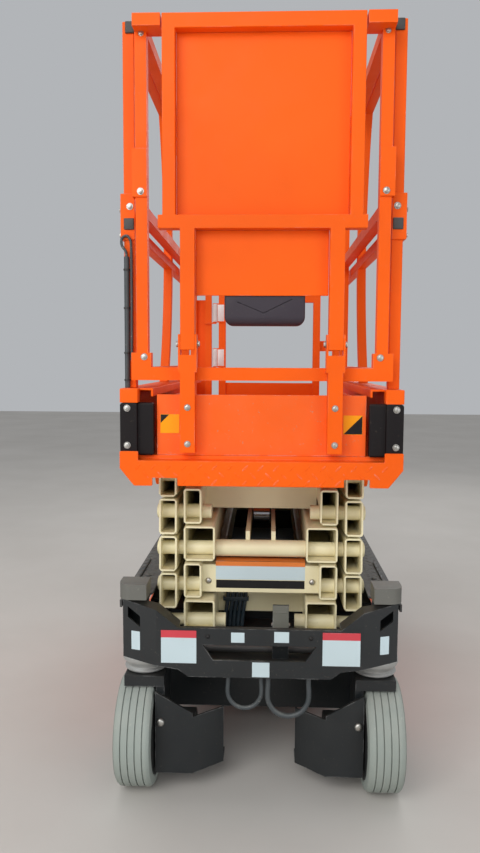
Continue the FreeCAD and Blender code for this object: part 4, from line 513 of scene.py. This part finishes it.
def hanging_cables():
    for side_name, (thick, length, route) in CABLES.items():
        piece = tube_along(f"hanging_cable_{side_name}", [Vector(place) * MM for place in route],
                           thick, order=3, steps=10)
        piece.data.materials.append(finish["cable_skin"])
        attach(piece, "chassis")
        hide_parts(f"cable_loop_{side_name}")


# Lift hoses, which bow on their way down from the clip: heights, and X of each hose there
HOSE_THICK = 12
HOSE_Y = -606.6
HOSE_HEIGHTS = (560, 541, 508, 468, 435)
HOSE_BOWS = ((-100, -98, -101, -107, -107), (-87, -84, -87, -93.5, -94.5),
             (-74, -70, -74, -80.5, -82), (-61, -56.5, -61, -67.5, -69),
             (-48, -43, -48, -54.5, -56))
CLIP_LOW, CLIP_HIGH = 515, 527
CLIP_LEFT, CLIP_RIGHT = -114, -36
CLIP_THICK = 3
CLIP_FACE_Y, CLIP_LEG_Y = (-615.2, -612.8), (-614, -598.2)


def lift_hoses():
    hoses = []
    for bow in HOSE_BOWS:
        route = [(x * MM, HOSE_Y * MM, z * MM) for x, z in zip(bow, HOSE_HEIGHTS)]
        only(tube_along("lift_hose", route, HOSE_THICK, order=4, steps=8))
        bpy.ops.object.convert(target="MESH")
        hoses.append(bpy.context.object)
    bundle = hand_over(joined(hoses), "lift_hoses", "hose_skin", body_of["hose_bundle"])
    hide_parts("hose_bundle")
    front, back = CLIP_FACE_Y
    clip = [slab((CLIP_LEFT, front, CLIP_LOW), (CLIP_RIGHT, back, CLIP_HIGH), 0.8)]
    front, back = CLIP_LEG_Y
    for left in (CLIP_LEFT, CLIP_RIGHT - CLIP_THICK):
        clip.append(slab((left, front, CLIP_LOW), (left + CLIP_THICK, back, CLIP_HIGH), 0.5))
    hand_over(joined(clip), "hose_clip", "hose_skin", body_of["hose_bundle"])


# Copies of CAD nodes that take more shaping
def merged_copy(name):
    """A copy of a node with its triangles merged into flat faces and nothing selected."""
    piece = nodes[name].copy()
    piece.data = nodes[name].data.copy()
    piece.modifiers.clear()
    bpy.context.collection.objects.link(piece)
    only(piece)
    edit_mesh(select="SELECT")
    bpy.ops.mesh.remove_doubles(threshold=SAME_PLACE)
    bpy.ops.mesh.dissolve_limited(angle_limit=FLAT_FACE)
    bpy.ops.mesh.select_all(action="DESELECT")
    leave_mesh()
    return piece


# Corners of the arms' tubes: their radius outside and in the hollows, and the size of the
# slivers that are closed after rounding
CORNER_OUTSIDE, CORNER_INSIDE = 8, 3.5
CORNER_STEPS = 4
CORNER_SLIVER = 0.2

# What makes an edge such a corner: its length, how much of it runs along the arm, how far it
# is from the machine's middle, and how alike the faces beside it may look
CORNER_LONG = 60
CORNER_ALONG = 0.9
CORNER_X = 125
CORNER_ALIKE = 0.3


def pick_tube_corners(mesh, outside):
    """Selects the long corner edges of an arm's tubes, outside or in their hollows."""
    faces_at = {}
    for face in mesh.polygons:
        for key in face.edge_keys:
            faces_at.setdefault(key, []).append(face)
    for edge in mesh.edges:
        start, end = (mesh.vertices[number].co for number in edge.vertices)
        run = end - start
        along = run.length > CORNER_LONG * MM and abs(run.y) > CORNER_ALONG * run.length
        on_tube = min(abs(start.x), abs(end.x)) > CORNER_X * MM
        beside = faces_at.get(tuple(sorted(edge.vertices)), [])
        if not (along and on_tube and len(beside) == 2):
            continue
        first, second = beside
        if abs(first.normal.dot(second.normal)) < CORNER_ALIKE:
            bulges = (second.center - first.center).dot(first.normal) < 0
            edge.select = bulges == outside


def scissor_arm(name):
    """An arm whose tubes have the rounded corners of rolled box section."""
    piece = merged_copy(name)
    for outside, radius in ((True, CORNER_OUTSIDE), (False, CORNER_INSIDE)):
        edit_mesh("EDGE", "DESELECT")
        leave_mesh()
        pick_tube_corners(piece.data, outside)
        edit_mesh()
        bpy.ops.mesh.bevel(offset=radius * MM, segments=CORNER_STEPS, affect="EDGES",
                           clamp_overlap=False)
        bpy.ops.mesh.select_mode(type="VERT")
        bpy.ops.mesh.select_all(action="SELECT")
        bpy.ops.mesh.remove_doubles(threshold=CORNER_SLIVER * MM)
        bpy.ops.mesh.select_all(action="DESELECT")
        leave_mesh()
    hand_over(piece, f"dressed_{name}", "cream_paint", body_of[name])
    soften(piece, 1.0)
    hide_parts(name)


def scissor_stack():
    for level in range(1, 5):
        scissor_arm(f"inner_arm_{level}")
        scissor_arm(f"outer_arm_{level}")


# Tyres: the radius of their seat, the grooves round the tread and the edge of each groove
TYRE_SEAT = 128
TYRE_STEPS = 112
GROOVE_PLACES = (-30, -10, 10, 30)
GROOVE_HALF = 1.3
GROOVE_DEEP = 5
LIP_WIDE, LIP_DEEP = 0.6, 0.8

# How far each point of a shoulder is in from the side and down from the tread
SHOULDER = ((0, 16), (3, 6), (9, 1.2), (15, 0))

# The groove round the outer sidewall, down to the seat: in from the side and up from the seat
SIDE_GROOVE = ((0, 22), (2.5, 20), (2.5, 12), (0, 10), (4, 0))


def tyre(name, side):
    """A solid grey tyre with four grooves round its tread and rounded shoulders."""
    low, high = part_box(name)
    half = (high.x - low.x) / 2 / MM
    radius = (high.z - low.z) / 2 / MM
    profile = [(-half + 4, TYRE_SEAT), (-half, TYRE_SEAT + 6)]
    profile += [(-half + across, radius - down) for across, down in SHOULDER]
    for place in GROOVE_PLACES:
        left, right = place - GROOVE_HALF, place + GROOVE_HALF
        profile += [(left - LIP_WIDE, radius), (left, radius - LIP_DEEP),
                    (left, radius - GROOVE_DEEP), (right, radius - GROOVE_DEEP),
                    (right, radius - LIP_DEEP), (right + LIP_WIDE, radius)]
    profile += [(half - across, radius - down) for across, down in reversed(SHOULDER)]
    profile += [(half - across, TYRE_SEAT + up) for across, up in SIDE_GROOVE]
    profile.append(profile[0])
    centre = (low + high) / 2 / MM
    piece = turned(profile, centre, "right" if side > 0 else "left", steps=TYRE_STEPS)
    hand_over(piece, f"dressed_{name}", "grey_tyre", body_of[name], smooth=28)
    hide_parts(name)


# Wheel hubs: X of the rim's disc, how far the cap stands out from it, the cap and the nuts
RIM_DISC_X = 343
HUB_OUT = 24
HUB_CAP = [(0, 0), (0, 50), (6, 50), (9, 46), (9, 34), (15, 31), (17, 24), (17, 0)]
WHEEL_NUTS = 5
NUT_CIRCLE = 80
NUT_SIZE = 9


def hub(axle, side_name, side, masters):
    """The cap and nuts on the outer face of a wheel."""
    low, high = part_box(f"rim_{axle}_{side_name}")
    centre = (low + high) / 2 / MM
    outward = "right" if side > 0 else "left"
    cap = turned(HUB_CAP, (side * (RIM_DISC_X + HUB_OUT), centre.y, centre.z), outward)
    nuts = []
    for number in range(WHEEL_NUTS):
        turn = 2 * math.pi * number / WHEEL_NUTS
        place = (side * RIM_DISC_X, centre.y + NUT_CIRCLE * math.cos(turn),
                 centre.z + NUT_CIRCLE * math.sin(turn))
        nuts.append(copy_at(masters["hex"], place, outward, NUT_SIZE * MM, turn))
    body = f"wheel_{axle}_{side_name}"
    hand_over(joined(nuts), f"nuts_{axle}_{side_name}", "zinc", body)
    hand_over(cap, f"hub_cap_{axle}_{side_name}", "rim_paint", body)


def wheels(masters):
    for side_name, side in SIDES:
        for axle in ("front", "rear"):
            tyre(f"tyre_{axle}_{side_name}", side)
            hub(axle, side_name, side, masters)


# Fasteners, made once with a radius of one metre and copied at their size. The head and its
# washer are in metres, the dome in millimetres
HEAD_SIDES, HEAD_DEEP, HEAD_MIDDLE, HEAD_ROUND = 6, 0.62, 0.49, 0.12
WASHER_SIDES, WASHER_RADIUS, WASHER_DEEP, WASHER_ROUND = 24, 1.3, 0.2, 0.05
DOME = [(0, 0), (0, 1000), (180, 1000), (420, 860), (600, 580), (690, 260), (700, 0)]


def cylinder(sides, radius, depth, middle):
    """A cylinder in metres that faces the front, with its middle in front of the seat."""
    deselect()
    bpy.ops.mesh.primitive_cylinder_add(vertices=sides, radius=radius, depth=depth,
                                        location=(0, -middle, 0), rotation=(QUARTER_TURN, 0, 0))
    return settle(bpy.context.object)


def fastener_masters():
    head = cylinder(HEAD_SIDES, 1, HEAD_DEEP, HEAD_MIDDLE)
    modify(head, "BEVEL", width=HEAD_ROUND, segments=2, limit_method="ANGLE")
    washer = cylinder(WASHER_SIDES, WASHER_RADIUS, WASHER_DEEP, WASHER_DEEP / 2)
    modify(washer, "BEVEL", width=WASHER_ROUND, segments=1, limit_method="ANGLE")
    return {"hex": joined([head, washer]), "dome": turned(DOME, (0, 0, 0), steps=24)}


# Name, kind, look, radius, body, facing and places on the right; the left side mirrors them
FASTENERS = [
    ("platform_rail_bolts", "hex", "zinc", 7, "platform", "front", [(348, -845, 1646)]),
    ("platform_rear_bolts", "hex", "zinc", 7, "platform", "back", [(348, 835, 1646)]),
    ("extension_top_bolts", "hex", "zinc", 5.5, "extension", "front", [(310, -878, 2066)]),
    ("extension_sleeve_bolts", "hex", "zinc", 7, "extension", "front", [(313, -883, 1676)]),
    ("socket_bolts", "hex", "zinc", 7, "extension", "front", [(307, -878, 1254)]),
    ("post_foot_bolts", "hex", "zinc", 6.5, "extension", "front",
     [(190, -913, 1124), (190, -913, 1029)]),
    ("fold_bolt_heads_out", "hex", "zinc", 8, "extension", "right", [(214, -895.5, 1287)]),
    ("fold_bolt_heads_in", "hex", "zinc", 8, "extension", "left", [(166, -895.5, 1287)]),
    ("corner_cover_bolts", "hex", "zinc", 7, "platform", "front",
     [(348, -907, 1121), (348, -907, 1024)]),
    ("side_panel_bolts", "dome", "orange_paint", 8, "platform", "right",
     [(365, y, z) for y in (-560, -120, 330, 740) for z in (1000, 1140)]),
    ("side_post_bolts", "hex", "zinc", 7, "platform", "right",
     [(373, y, z) for y in (-825, 815) for z in (1575, 1640)]),
    ("nose_bolts", "dome", "black_film", 6, "chassis", "front", [(139, -880, 503)]),
    ("rear_plate_bolts", "hex", "zinc", 8, "chassis", "back",
     [(345, 850, 520), (345, 850, 440), (240, 850, 380)]),
    ("ladder_bolts", "hex", "zinc", 7, "chassis", "back", [(195, 915, 520), (195, 915, 860)]),
    ("cover_bolts", "dome", "dark_plastic", 8, "chassis", "up",
     [(345, y, 585.6) for y in (-600, -250, 100, 450, 780)]),
    ("label_box_bolts", "dome", "zinc", 9, "inner_arm_2", "front", [(149, -735.3, 614)]),
]
TWIST_STEP = 0.5
GUARD_BOLT = (281, -799.5, 218)
GUARD_BOLT_SIZE = 12


def fasteners(masters):
    for name, kind, look, radius, body, facing, places in FASTENERS:
        copies = []
        for _, side in SIDES:
            way = MIRRORED.get(facing, facing) if side < 0 else facing
            for number, (x, y, z) in enumerate(places):
                copies.append(copy_at(masters[kind], (side * x, y, z), way, radius * MM,
                                      TWIST_STEP * number + side))
        hand_over(joined(copies), name, look, body)
    for side_name, side in SIDES:
        x, y, z = GUARD_BOLT
        dome = copy_at(masters["dome"], (side * x, y, z), "front", GUARD_BOLT_SIZE * MM)
        hand_over(joined([dome]), f"guard_bolt_{side_name}", "zinc", f"knuckle_{side_name}")


# Swivel rings under the steer beam: a cast bowl with a rolled upper lip
KINGPIN_X = 334
CAST_RING = [(0, 24), (0, 55), (1.5, 59), (5, 61.5), (9, 61.5), (12, 59), (14, 56.5), (17, 56.5),
             (22, 60), (28, 65), (32, 67), (43, 67), (48, 65.5), (51.4, 61), (51.4, 50), (46, 47),
             (40, 45), (40, 24), (0, 24)]


def swivel_rings():
    low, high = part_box("swivel_rings")
    centre_y = (low.y + high.y) / 2 / MM
    rings = [turned(CAST_RING, (side * KINGPIN_X, centre_y, low.z / MM), "up", steps=64)
             for _, side in SIDES]
    piece = hand_over(joined(rings), "cast_rings", "ring_metal", "chassis")
    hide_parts("swivel_rings")


# Bare plates, some with a coloured stripe
PLATE_THICK = 0.7
STRIPE_OUT, STRIPE_IN = 1.1, 0.5
STRIPE_ABOVE = 0.3
PLATE_EDGE, STRIPE_EDGE = 0.3, 0.2
NOSE_Y = -880
NOSE_SWEEP = math.atan((880 - 850) / (375 - 280))
WING_Y = -862
BOX_LEAN = math.atan(2.8 / 72)


def label(name, body, face, edges, base="label_white", band=None, band_share=0.22, angle=0.0,
          about="Z"):
    """A thin plate on a face at Y, with its left, low, right and high edges.

    Band is the look of a stripe along its top, and angle turns the plate about its middle.
    """
    left, low, right, high = edges
    plate = slab((left, face - PLATE_THICK, low), (right, face, high), PLATE_EDGE, 1)
    pieces = [(plate, base, name)]
    if band:
        stripe_low = high - (high - low) * band_share
        stripe = slab((left, face - STRIPE_OUT, stripe_low),
                      (right, face - STRIPE_IN, high + STRIPE_ABOVE), STRIPE_EDGE, 1)
        pieces.append((stripe, band, name + "_stripe"))
    for piece, look, piece_name in pieces:
        if angle:
            lean(piece, ((left + right) / 2, face, (low + high) / 2), angle, about)
        hand_over(piece, piece_name, look, body)


def labels():
    label("plate_left", "chassis", NOSE_Y, (-266, 428, -170, 519), band="label_red")
    label("plate_right", "chassis", NOSE_Y, (170, 428, 271, 520), band="label_red")
    label("plate_small_left", "chassis", NOSE_Y, (-76, 488, -40, 516))
    label("plate_small_right", "chassis", NOSE_Y, (40, 490, 80, 520))
    label("plate_low", "chassis", NOSE_Y, (-19, 393, 28, 434))
    label("plate_wing_left", "chassis", WING_Y, (-351, 456, -325, 508), angle=-NOSE_SWEEP)
    label("plate_wing_right", "chassis", WING_Y, (325, 456, 351, 506), angle=NOSE_SWEEP)
    label("box_plate", "inner_arm_2", -736.6, (-128, 618.5, 128, 672), band="label_amber",
          band_share=0.25, angle=BOX_LEAN, about="X")
    label("box_strip", "inner_arm_2", -735.1, (-127, 593, 127, 617), base="black_film",
          angle=BOX_LEAN, about="X")
    fold = slab((-128, -737.2, 673.2), (128, -702, 673.9), 0.2, 1)
    lean(fold, (0, -737.5, 673.2), BOX_LEAN, "X")
    hand_over(fold, "box_plate_fold", "label_amber", "inner_arm_2")


# Yellow squares beside the lower centre posts, with a black corner each: their middle and half
# their width, the Y of the faces, and where the black corner's three points are from the middle
MARK_X, MARK_Z = 240, 1079
MARK_HALF = 25
MARK_Y, CORNER_FRONT, CORNER_BACK = -878, -879.2, -878.4
MARK_CORNERS = {"left": ((-24, 24), (-2, 24), (-24, 2)),
                "right": ((24, -24), (24, 24), (-24, -24))}


def hazard_marks():
    for side_name, side in SIDES:
        x = side * MARK_X
        label(f"mark_{side_name}", "extension", MARK_Y,
              (x - MARK_HALF, MARK_Z - MARK_HALF, x + MARK_HALF, MARK_Z + MARK_HALF),
              base="signal_yellow")
        deselect()
        bpy.ops.mesh.primitive_cylinder_add(vertices=3, radius=1, depth=1)
        corner = bpy.context.object
        for point in corner.data.vertices:
            turn = math.atan2(point.co.y, point.co.x) - QUARTER_TURN
            number = round(turn / (2 * math.pi / 3)) % 3
            across, up = MARK_CORNERS[side_name][number]
            y = CORNER_FRONT if point.co.z > 0 else CORNER_BACK
            point.co = Vector((x + across, y, MARK_Z + up)) * MM
        settle(corner)
        edit_mesh(select="SELECT")
        bpy.ops.mesh.normals_make_consistent(inside=False)
        leave_mesh()
        hand_over(corner, f"mark_corner_{side_name}", "black_film", "extension")


# Raised tread on the decks, the covers, the steps and the apron
TREAD_PITCH = 40
RIDGE_LONG, RIDGE_TOP, RIDGE_HIGH = 12, 8, 1.2
RIDGE_SLIM = 0.24
STEPS = 4
STEP_PITCH = 150
STEP_TOP = 286.3


def tread(name, look, body, rows, facing="up"):
    """Small slanted ridges: slant, first place, and how many go across and along, by row."""
    fields = []
    upright = Matrix.Rotation(QUARTER_TURN, 4, "X") if facing == "front" else Matrix.Identity(4)
    for slant, start, (across, along) in rows:
        deselect()
        bpy.ops.mesh.primitive_cone_add(vertices=8, radius1=RIDGE_LONG * MM,
                                        radius2=RIDGE_TOP * MM, depth=RIDGE_HIGH * MM)
        ridge = bpy.context.object
        ridge.scale = (1, RIDGE_SLIM, 1)
        settle(ridge)
        ridge.data.transform(Matrix.Rotation(slant * math.pi / 4, 4, "Z"))
        pitch = TREAD_PITCH * MM
        for count, offset in ((across, (pitch, 0, 0)), (along, (0, pitch, 0))):
            modify(ridge, "ARRAY", count=count, use_relative_offset=False,
                   use_constant_offset=True, constant_offset_displace=offset)
        ridge.matrix_world = Matrix.Translation(Vector(start) * MM) @ upright
        fields.append(settle(ridge))
    hand_over(joined(fields), name, look, body, smooth=20)


def crossed(start, across, along):
    """Two sets of ridges, the second turned the other way in the gaps of the first."""
    half = TREAD_PITCH / 2
    shifted = (start[0] + half, start[1] + half, start[2])
    return [(1, start, (across, along)), (-1, shifted, (across - 1, along - 1))]


def treads():
    tread("apron_tread", "orange_paint", "platform",
          [(1, (-320, -915.4, 968), (17, 1)), (-1, (-300, -915.4, 948), (16, 1)),
           (1, (-200, -915.4, 930), (11, 1))], "front")
    tread("slide_tread", "orange_deck", "extension", crossed((-240, -850, 1001.6), 13, 24))
    tread("deck_tread", "orange_deck", "platform", crossed((-300, 160, 996.3), 16, 16))
    for side_name, low in (("left", -372), ("right", 332)):
        tread(f"cover_tread_{side_name}", "dark_plastic", "chassis",
              crossed((low, -730, 592.2), 2, 38))
    for number in range(STEPS):
        top = STEP_TOP + STEP_PITCH * number
        tread(f"step_tread_{number}", "dark_paint", "chassis",
              [(1, (-160, 872, top), (9, 1)), (-1, (-140, 892, top), (8, 1))])


# Plugs in the open ends of the rail tubes: inner and outer X, front Y, lowest and highest Z
TUBE_PLUGS = ((333, 357, -846, 2082, 2111), (337, 364, -848.5, 1586, 1616))
PLUG_DEEP = 8


def tube_plugs():
    plugs = [side_slab(side, (inner, front, low), (outer, front + PLUG_DEEP, high), 2.5, 3)
             for _, side in SIDES for inner, outer, front, low, high in TUBE_PLUGS]
    hand_over(joined(plugs), "tube_plugs", "dark_plastic", "platform")


# Document case: its rounding, the V of grooves as ends in X and Z, its lid line and latch
CASE_CORNER = 22
CASE_EDGE = 5
CASE_GROOVES = (((-61, 1395), (5, 1368)), ((5, 1368), (75, 1402)))
CASE_GROOVE_WIDE, CASE_GROOVE_DEEP = 3.6, 3
LATCH_HALF = 16


def groove_cutter(start, end, wide, face, deep):
    """A bar between two places on the face of the document case, to cut a groove."""
    start, end = Vector(start), Vector(end)
    run = end - start
    bar = slab((-wide, -deep, -wide / 2), (run.length + wide, deep, wide / 2), 0.8)
    bar.matrix_world = (Matrix.Translation(Vector((start.x, face, start.y)) * MM)
                        @ Matrix.Rotation(-math.atan2(run.y, run.x), 4, "Y"))
    return settle(bar)


def document_case():
    """Moulded case with round lower corners, a lid line, a latch and a V pressed in its face."""
    low, high = (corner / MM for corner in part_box("document_case"))
    middle_x, middle_z = (low.x + high.x) / 2, (low.z + high.z) / 2
    shell = block((low + high) / 2 * MM, (high - low) * MM)
    edit_mesh(select="DESELECT")
    leave_mesh()
    for edge in shell.data.edges:
        start, end = (shell.data.vertices[number].co for number in edge.vertices)
        is_low = max(start.z, end.z) < middle_z * MM
        edge.select = is_low and abs(start.x - end.x) < MM
    edit_mesh("EDGE")
    bpy.ops.mesh.bevel(offset=CASE_CORNER * MM, segments=6, affect="EDGES")
    leave_mesh()
    modify(shell, "BEVEL", width=CASE_EDGE * MM, segments=3, limit_method="ANGLE")
    for start, end in CASE_GROOVES:
        cut(shell, groove_cutter(start, end, CASE_GROOVE_WIDE, low.y, CASE_GROOVE_DEEP))
    lid_line = slab((low.x + 4, low.y - 1, high.z - 12), (high.x - 4, low.y + 8, high.z - 9), 1)
    latch = slab((middle_x - LATCH_HALF, high.y - 8, high.z - 24),
                 (middle_x + LATCH_HALF, high.y - 1, high.z - 6), 2)
    piece = hand_over(joined([shell, lid_line, latch]), "manual_case", "case_grey",
                      "centre_frame")
    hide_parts("document_case")


# Spring hinges of the gate: the pin, the lower ends, the coil's start, turns and pitch, how far
# along the pin and out from it each turn and both ends go, and the leaf
HINGE_PIN = (-243, 790)
HINGE_LOWS = (1210, 1426)
COIL_START, COIL_TURNS, COIL_PITCH = 16, 14, 4.8
HINGE_FOOT = [(10, 0), (10, 12.6), (14, 13.6)]
COIL_WIRE = [(0, 12.4), (1.3, 14), (3.1, 14), (4.4, 12.4)]
HINGE_TOP = [(88, 13.6), (94, 13), (97, 10), (97, 0)]
LEAF_FROM, LEAF_TO = (-230, 783, 12), (-199, 789.6, 92)


def spring_hinges():
    """A coiled sleeve on each pin and a leaf on the gate."""
    profile = list(HINGE_FOOT)
    for turn in range(COIL_TURNS):
        base = COIL_START + COIL_PITCH * turn
        profile += [(base + along, out) for along, out in COIL_WIRE]
    profile += HINGE_TOP
    pieces = []
    for low in HINGE_LOWS:
        pieces.append(turned(profile, (*HINGE_PIN, low), "up", steps=32))
        pieces.append(slab((*LEAF_FROM[:2], low + LEAF_FROM[2]),
                           (*LEAF_TO[:2], low + LEAF_TO[2]), 1.2))
    hand_over(joined(pieces), "spring_hinges", "bright_zinc", "gate")


# Side covers: what is cut off their front skirts, from one corner to two limits back and up, and
# the skirts and window plates that take its place, all as on the right side
CUT_CORNER, CUT_OUTER_X = (385, -830, 455), 402
CUT_LIMITS = ((-399, 548), (-785.1, 560))
SKIRT = ((369, -848, 462), (375, -400, 584))
WINDOW_PLATE = ((312, -792, 462), (369, -789, 588))


def side_covers():
    """Covers with skirts in line with the nose, and dark plates behind its corner windows."""
    piece = merged_copy("side_covers")
    skirts = []
    for _, side in SIDES:
        for back, top in CUT_LIMITS:
            cut(piece, side_slab(side, CUT_CORNER, (CUT_OUTER_X, back, top), 0.1, 1))
        skirts.append(side_slab(side, *SKIRT, 1.5))
        skirts.append(side_slab(side, *WINDOW_PLATE, 1))
    modify(piece, "BEVEL", width=2.5 * MM, segments=2, limit_method="ANGLE",
           angle_limit=SHARP_EDGE)
    hand_over(piece, "walk_on_covers", "dark_plastic", "chassis")
    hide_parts("side_covers")
    hand_over(joined(skirts), "front_skirts", "dark_paint", "chassis")


# Small parts: the bracket behind the nose with its bolts, and the ties round the tied tube
BRACKET_FACE = ((36.4, -806.9, 486), (80.6, -806.0, 567.6))
BRACKET_FOLD = ((38, -808.2, 546), (79, -806.4, 550))
BRACKET_BOLTS = (((36, -802, 512), "left"), ((81, -802, 512), "right"))
BRACKET_BOLT_SIZE = 5
TIE_RING = [(0, 6.6), (0, 8.3), (0.6, 8.8), (4.4, 8.8), (5, 8.3), (5, 6.6), (0, 6.6)]
TIE_X, TIE_Y = -357, -847.3
TIE_HEIGHTS = (1190, 1262, 1380, 1480)


def small_parts(masters):
    hand_over(slab(*BRACKET_FACE, 0.4, 1), "bracket_face", "bracket_grey", "chassis")
    hand_over(slab(*BRACKET_FOLD, 0.8), "bracket_fold", "bracket_grey", "chassis")
    heads = [copy_at(masters["hex"], place, facing, BRACKET_BOLT_SIZE * MM)
             for place, facing in BRACKET_BOLTS]
    hand_over(joined(heads), "bracket_bolts", "zinc", "chassis")
    ties = [turned(TIE_RING, (TIE_X, TIE_Y, z), "up", steps=24) for z in TIE_HEIGHTS]
    hand_over(joined(ties), "hank_ties", "tie_band", "platform")


# Latches and vents of the tray doors, which reach inwards and outwards from the doors' face
DOOR_X = 384
LATCH_FRONTS = (-330, 280)
LATCH_PARTS = (((-2, 0, 330), (3, 70, 372), 2), ((2, 12, 342), (6, 58, 354), 1.6))
VENT_SLATS = 7
VENT_FRONT, VENT_BACK = -130, 90
VENT_LOW, VENT_PITCH, SLAT_HIGH = 190, 14, 6
SLAT_IN, SLAT_OUT = 1, 2.5


def door_details():
    for side_name, side in SIDES:
        latches = []
        for y in LATCH_FRONTS:
            for (inner, front, low), (outer, back, high), edge in LATCH_PARTS:
                latches.append(side_slab(side, (DOOR_X + inner, y + front, low),
                                         (DOOR_X + outer, y + back, high), edge))
        hand_over(joined(latches), f"door_latches_{side_name}", "dark_plastic",
                  f"tray_{side_name}")
        slats = []
        for number in range(VENT_SLATS):
            low = VENT_LOW + VENT_PITCH * number
            slats.append(side_slab(side, (DOOR_X - SLAT_IN, VENT_FRONT, low),
                                   (DOOR_X + SLAT_OUT, VENT_BACK, low + SLAT_HIGH), 1.2))
        hand_over(joined(slats), f"door_vents_{side_name}", "orange_paint", f"tray_{side_name}")


# Stage, light and camera, in metres
FLOOR_SIZE = 30
FLOOR_PATCHES_PER_METRE = 1.2
FLOOR_RANGE = (0.3, 0.7)
FLOOR_ROUGHNESS = 0.85
SKY = (0.93, 0.96, 1.0, 1)
SKY_STRENGTH = 0.48

# Name, place, target, width and height, power in watts, colour
SOFT_LIGHTS = (
    ("key_light", (-1.6, -5.0, 3.8), (0, -0.6, 0.9), (4.0, 2.6), 150, (1, 1, 1)),
    ("low_light_left", (-3.0, -4.2, 1.2), (0, -0.6, 0.6), (1.8, 1.8), 34, (1.0, 0.98, 0.95)),
    ("low_light_right", (3.0, -4.2, 1.4), (0, -0.6, 0.6), (1.8, 1.8), 34, (0.95, 0.97, 1.0)),
    ("top_light", (0, 0.4, 4.8), (0, 0, 1), (4.0, 4.0), 55, (1, 1, 1)),
    ("back_light", (1.5, 4.5, 3.2), (0, 0.5, 1.2), (3.0, 2.0), 30, (1, 1, 1)),
)


def stage():
    deselect()
    bpy.ops.mesh.primitive_plane_add(size=FLOOR_SIZE, location=(0, 0, 0))
    floor = bpy.context.object
    floor.name = "floor"
    material = bpy.data.materials.new("Pale floor")
    material.use_nodes = True
    tree = material.node_tree
    skin = tree.nodes["Principled BSDF"]
    where = shader(tree, "TexCoord").outputs["Object"]
    tone = remap(tree, noise(tree, where, FLOOR_PATCHES_PER_METRE, detail=6.0), *FLOOR_RANGE)
    colour = blended(tree, tone, FLOOR_DARK, FLOOR_PALE)
    tree.links.new(colour, skin.inputs["Base Color"])
    skin.inputs["Roughness"].default_value = FLOOR_ROUGHNESS
    floor.data.materials.append(material)


def soft_light(name, place, target, size, power, colour):
    lamp = bpy.data.lights.new(name, "AREA")
    lamp.shape = "RECTANGLE"
    lamp.size, lamp.size_y = size
    lamp.energy = power
    lamp.color = colour
    thing = bpy.data.objects.new(name, lamp)
    bpy.context.collection.objects.link(thing)
    aim = (Vector(target) - Vector(place)).to_track_quat("-Z", "Y")
    thing.matrix_world = Matrix.Translation(place) @ aim.to_matrix().to_4x4()


def lights():
    world = bpy.data.worlds.new("Soft room")
    bpy.context.scene.world = world
    world.use_nodes = True
    sky = world.node_tree.nodes["Background"]
    sky.inputs["Color"].default_value = SKY
    sky.inputs["Strength"].default_value = SKY_STRENGTH
    for row in SOFT_LIGHTS:
        soft_light(*row)
    view = bpy.context.scene.view_settings
    view.view_transform = "Standard"
    view.look = "None"
    view.exposure = 0.0


def camera():
    yaw, pitch, roll = CAMERA_YAW, CAMERA_PITCH, CAMERA_ROLL
    forward = Vector((-math.sin(yaw) * math.cos(pitch), math.cos(yaw) * math.cos(pitch),
                      -math.sin(pitch)))
    level = Vector((math.cos(yaw), math.sin(yaw), 0))
    upright = level.cross(forward)
    across = level * math.cos(roll) + upright * math.sin(roll)
    up = upright * math.cos(roll) - level * math.sin(roll)
    lens = bpy.data.cameras.new("camera")
    lens.lens = CAMERA_LENS
    lens.sensor_width = CAMERA_SENSOR
    lens.clip_start = CAMERA_NEAR
    thing = bpy.data.objects.new("camera", lens)
    bpy.context.collection.objects.link(thing)
    turn = Matrix((across, up, -forward)).transposed().to_4x4()
    thing.matrix_world = Matrix.Translation(CAMERA_PLACE) @ turn
    bpy.context.scene.camera = thing


dress_nodes()
camera()
hanging_cables()
stage()
lights()
masters = fastener_masters()
fasteners(masters)
wheels(masters)
scissor_stack()
lift_hoses()
swivel_rings()
side_covers()
small_parts(masters)
labels()
hazard_marks()
treads()
tube_plugs()
document_case()
spring_hinges()
door_details()
for master in masters.values():
    bpy.data.objects.remove(master)
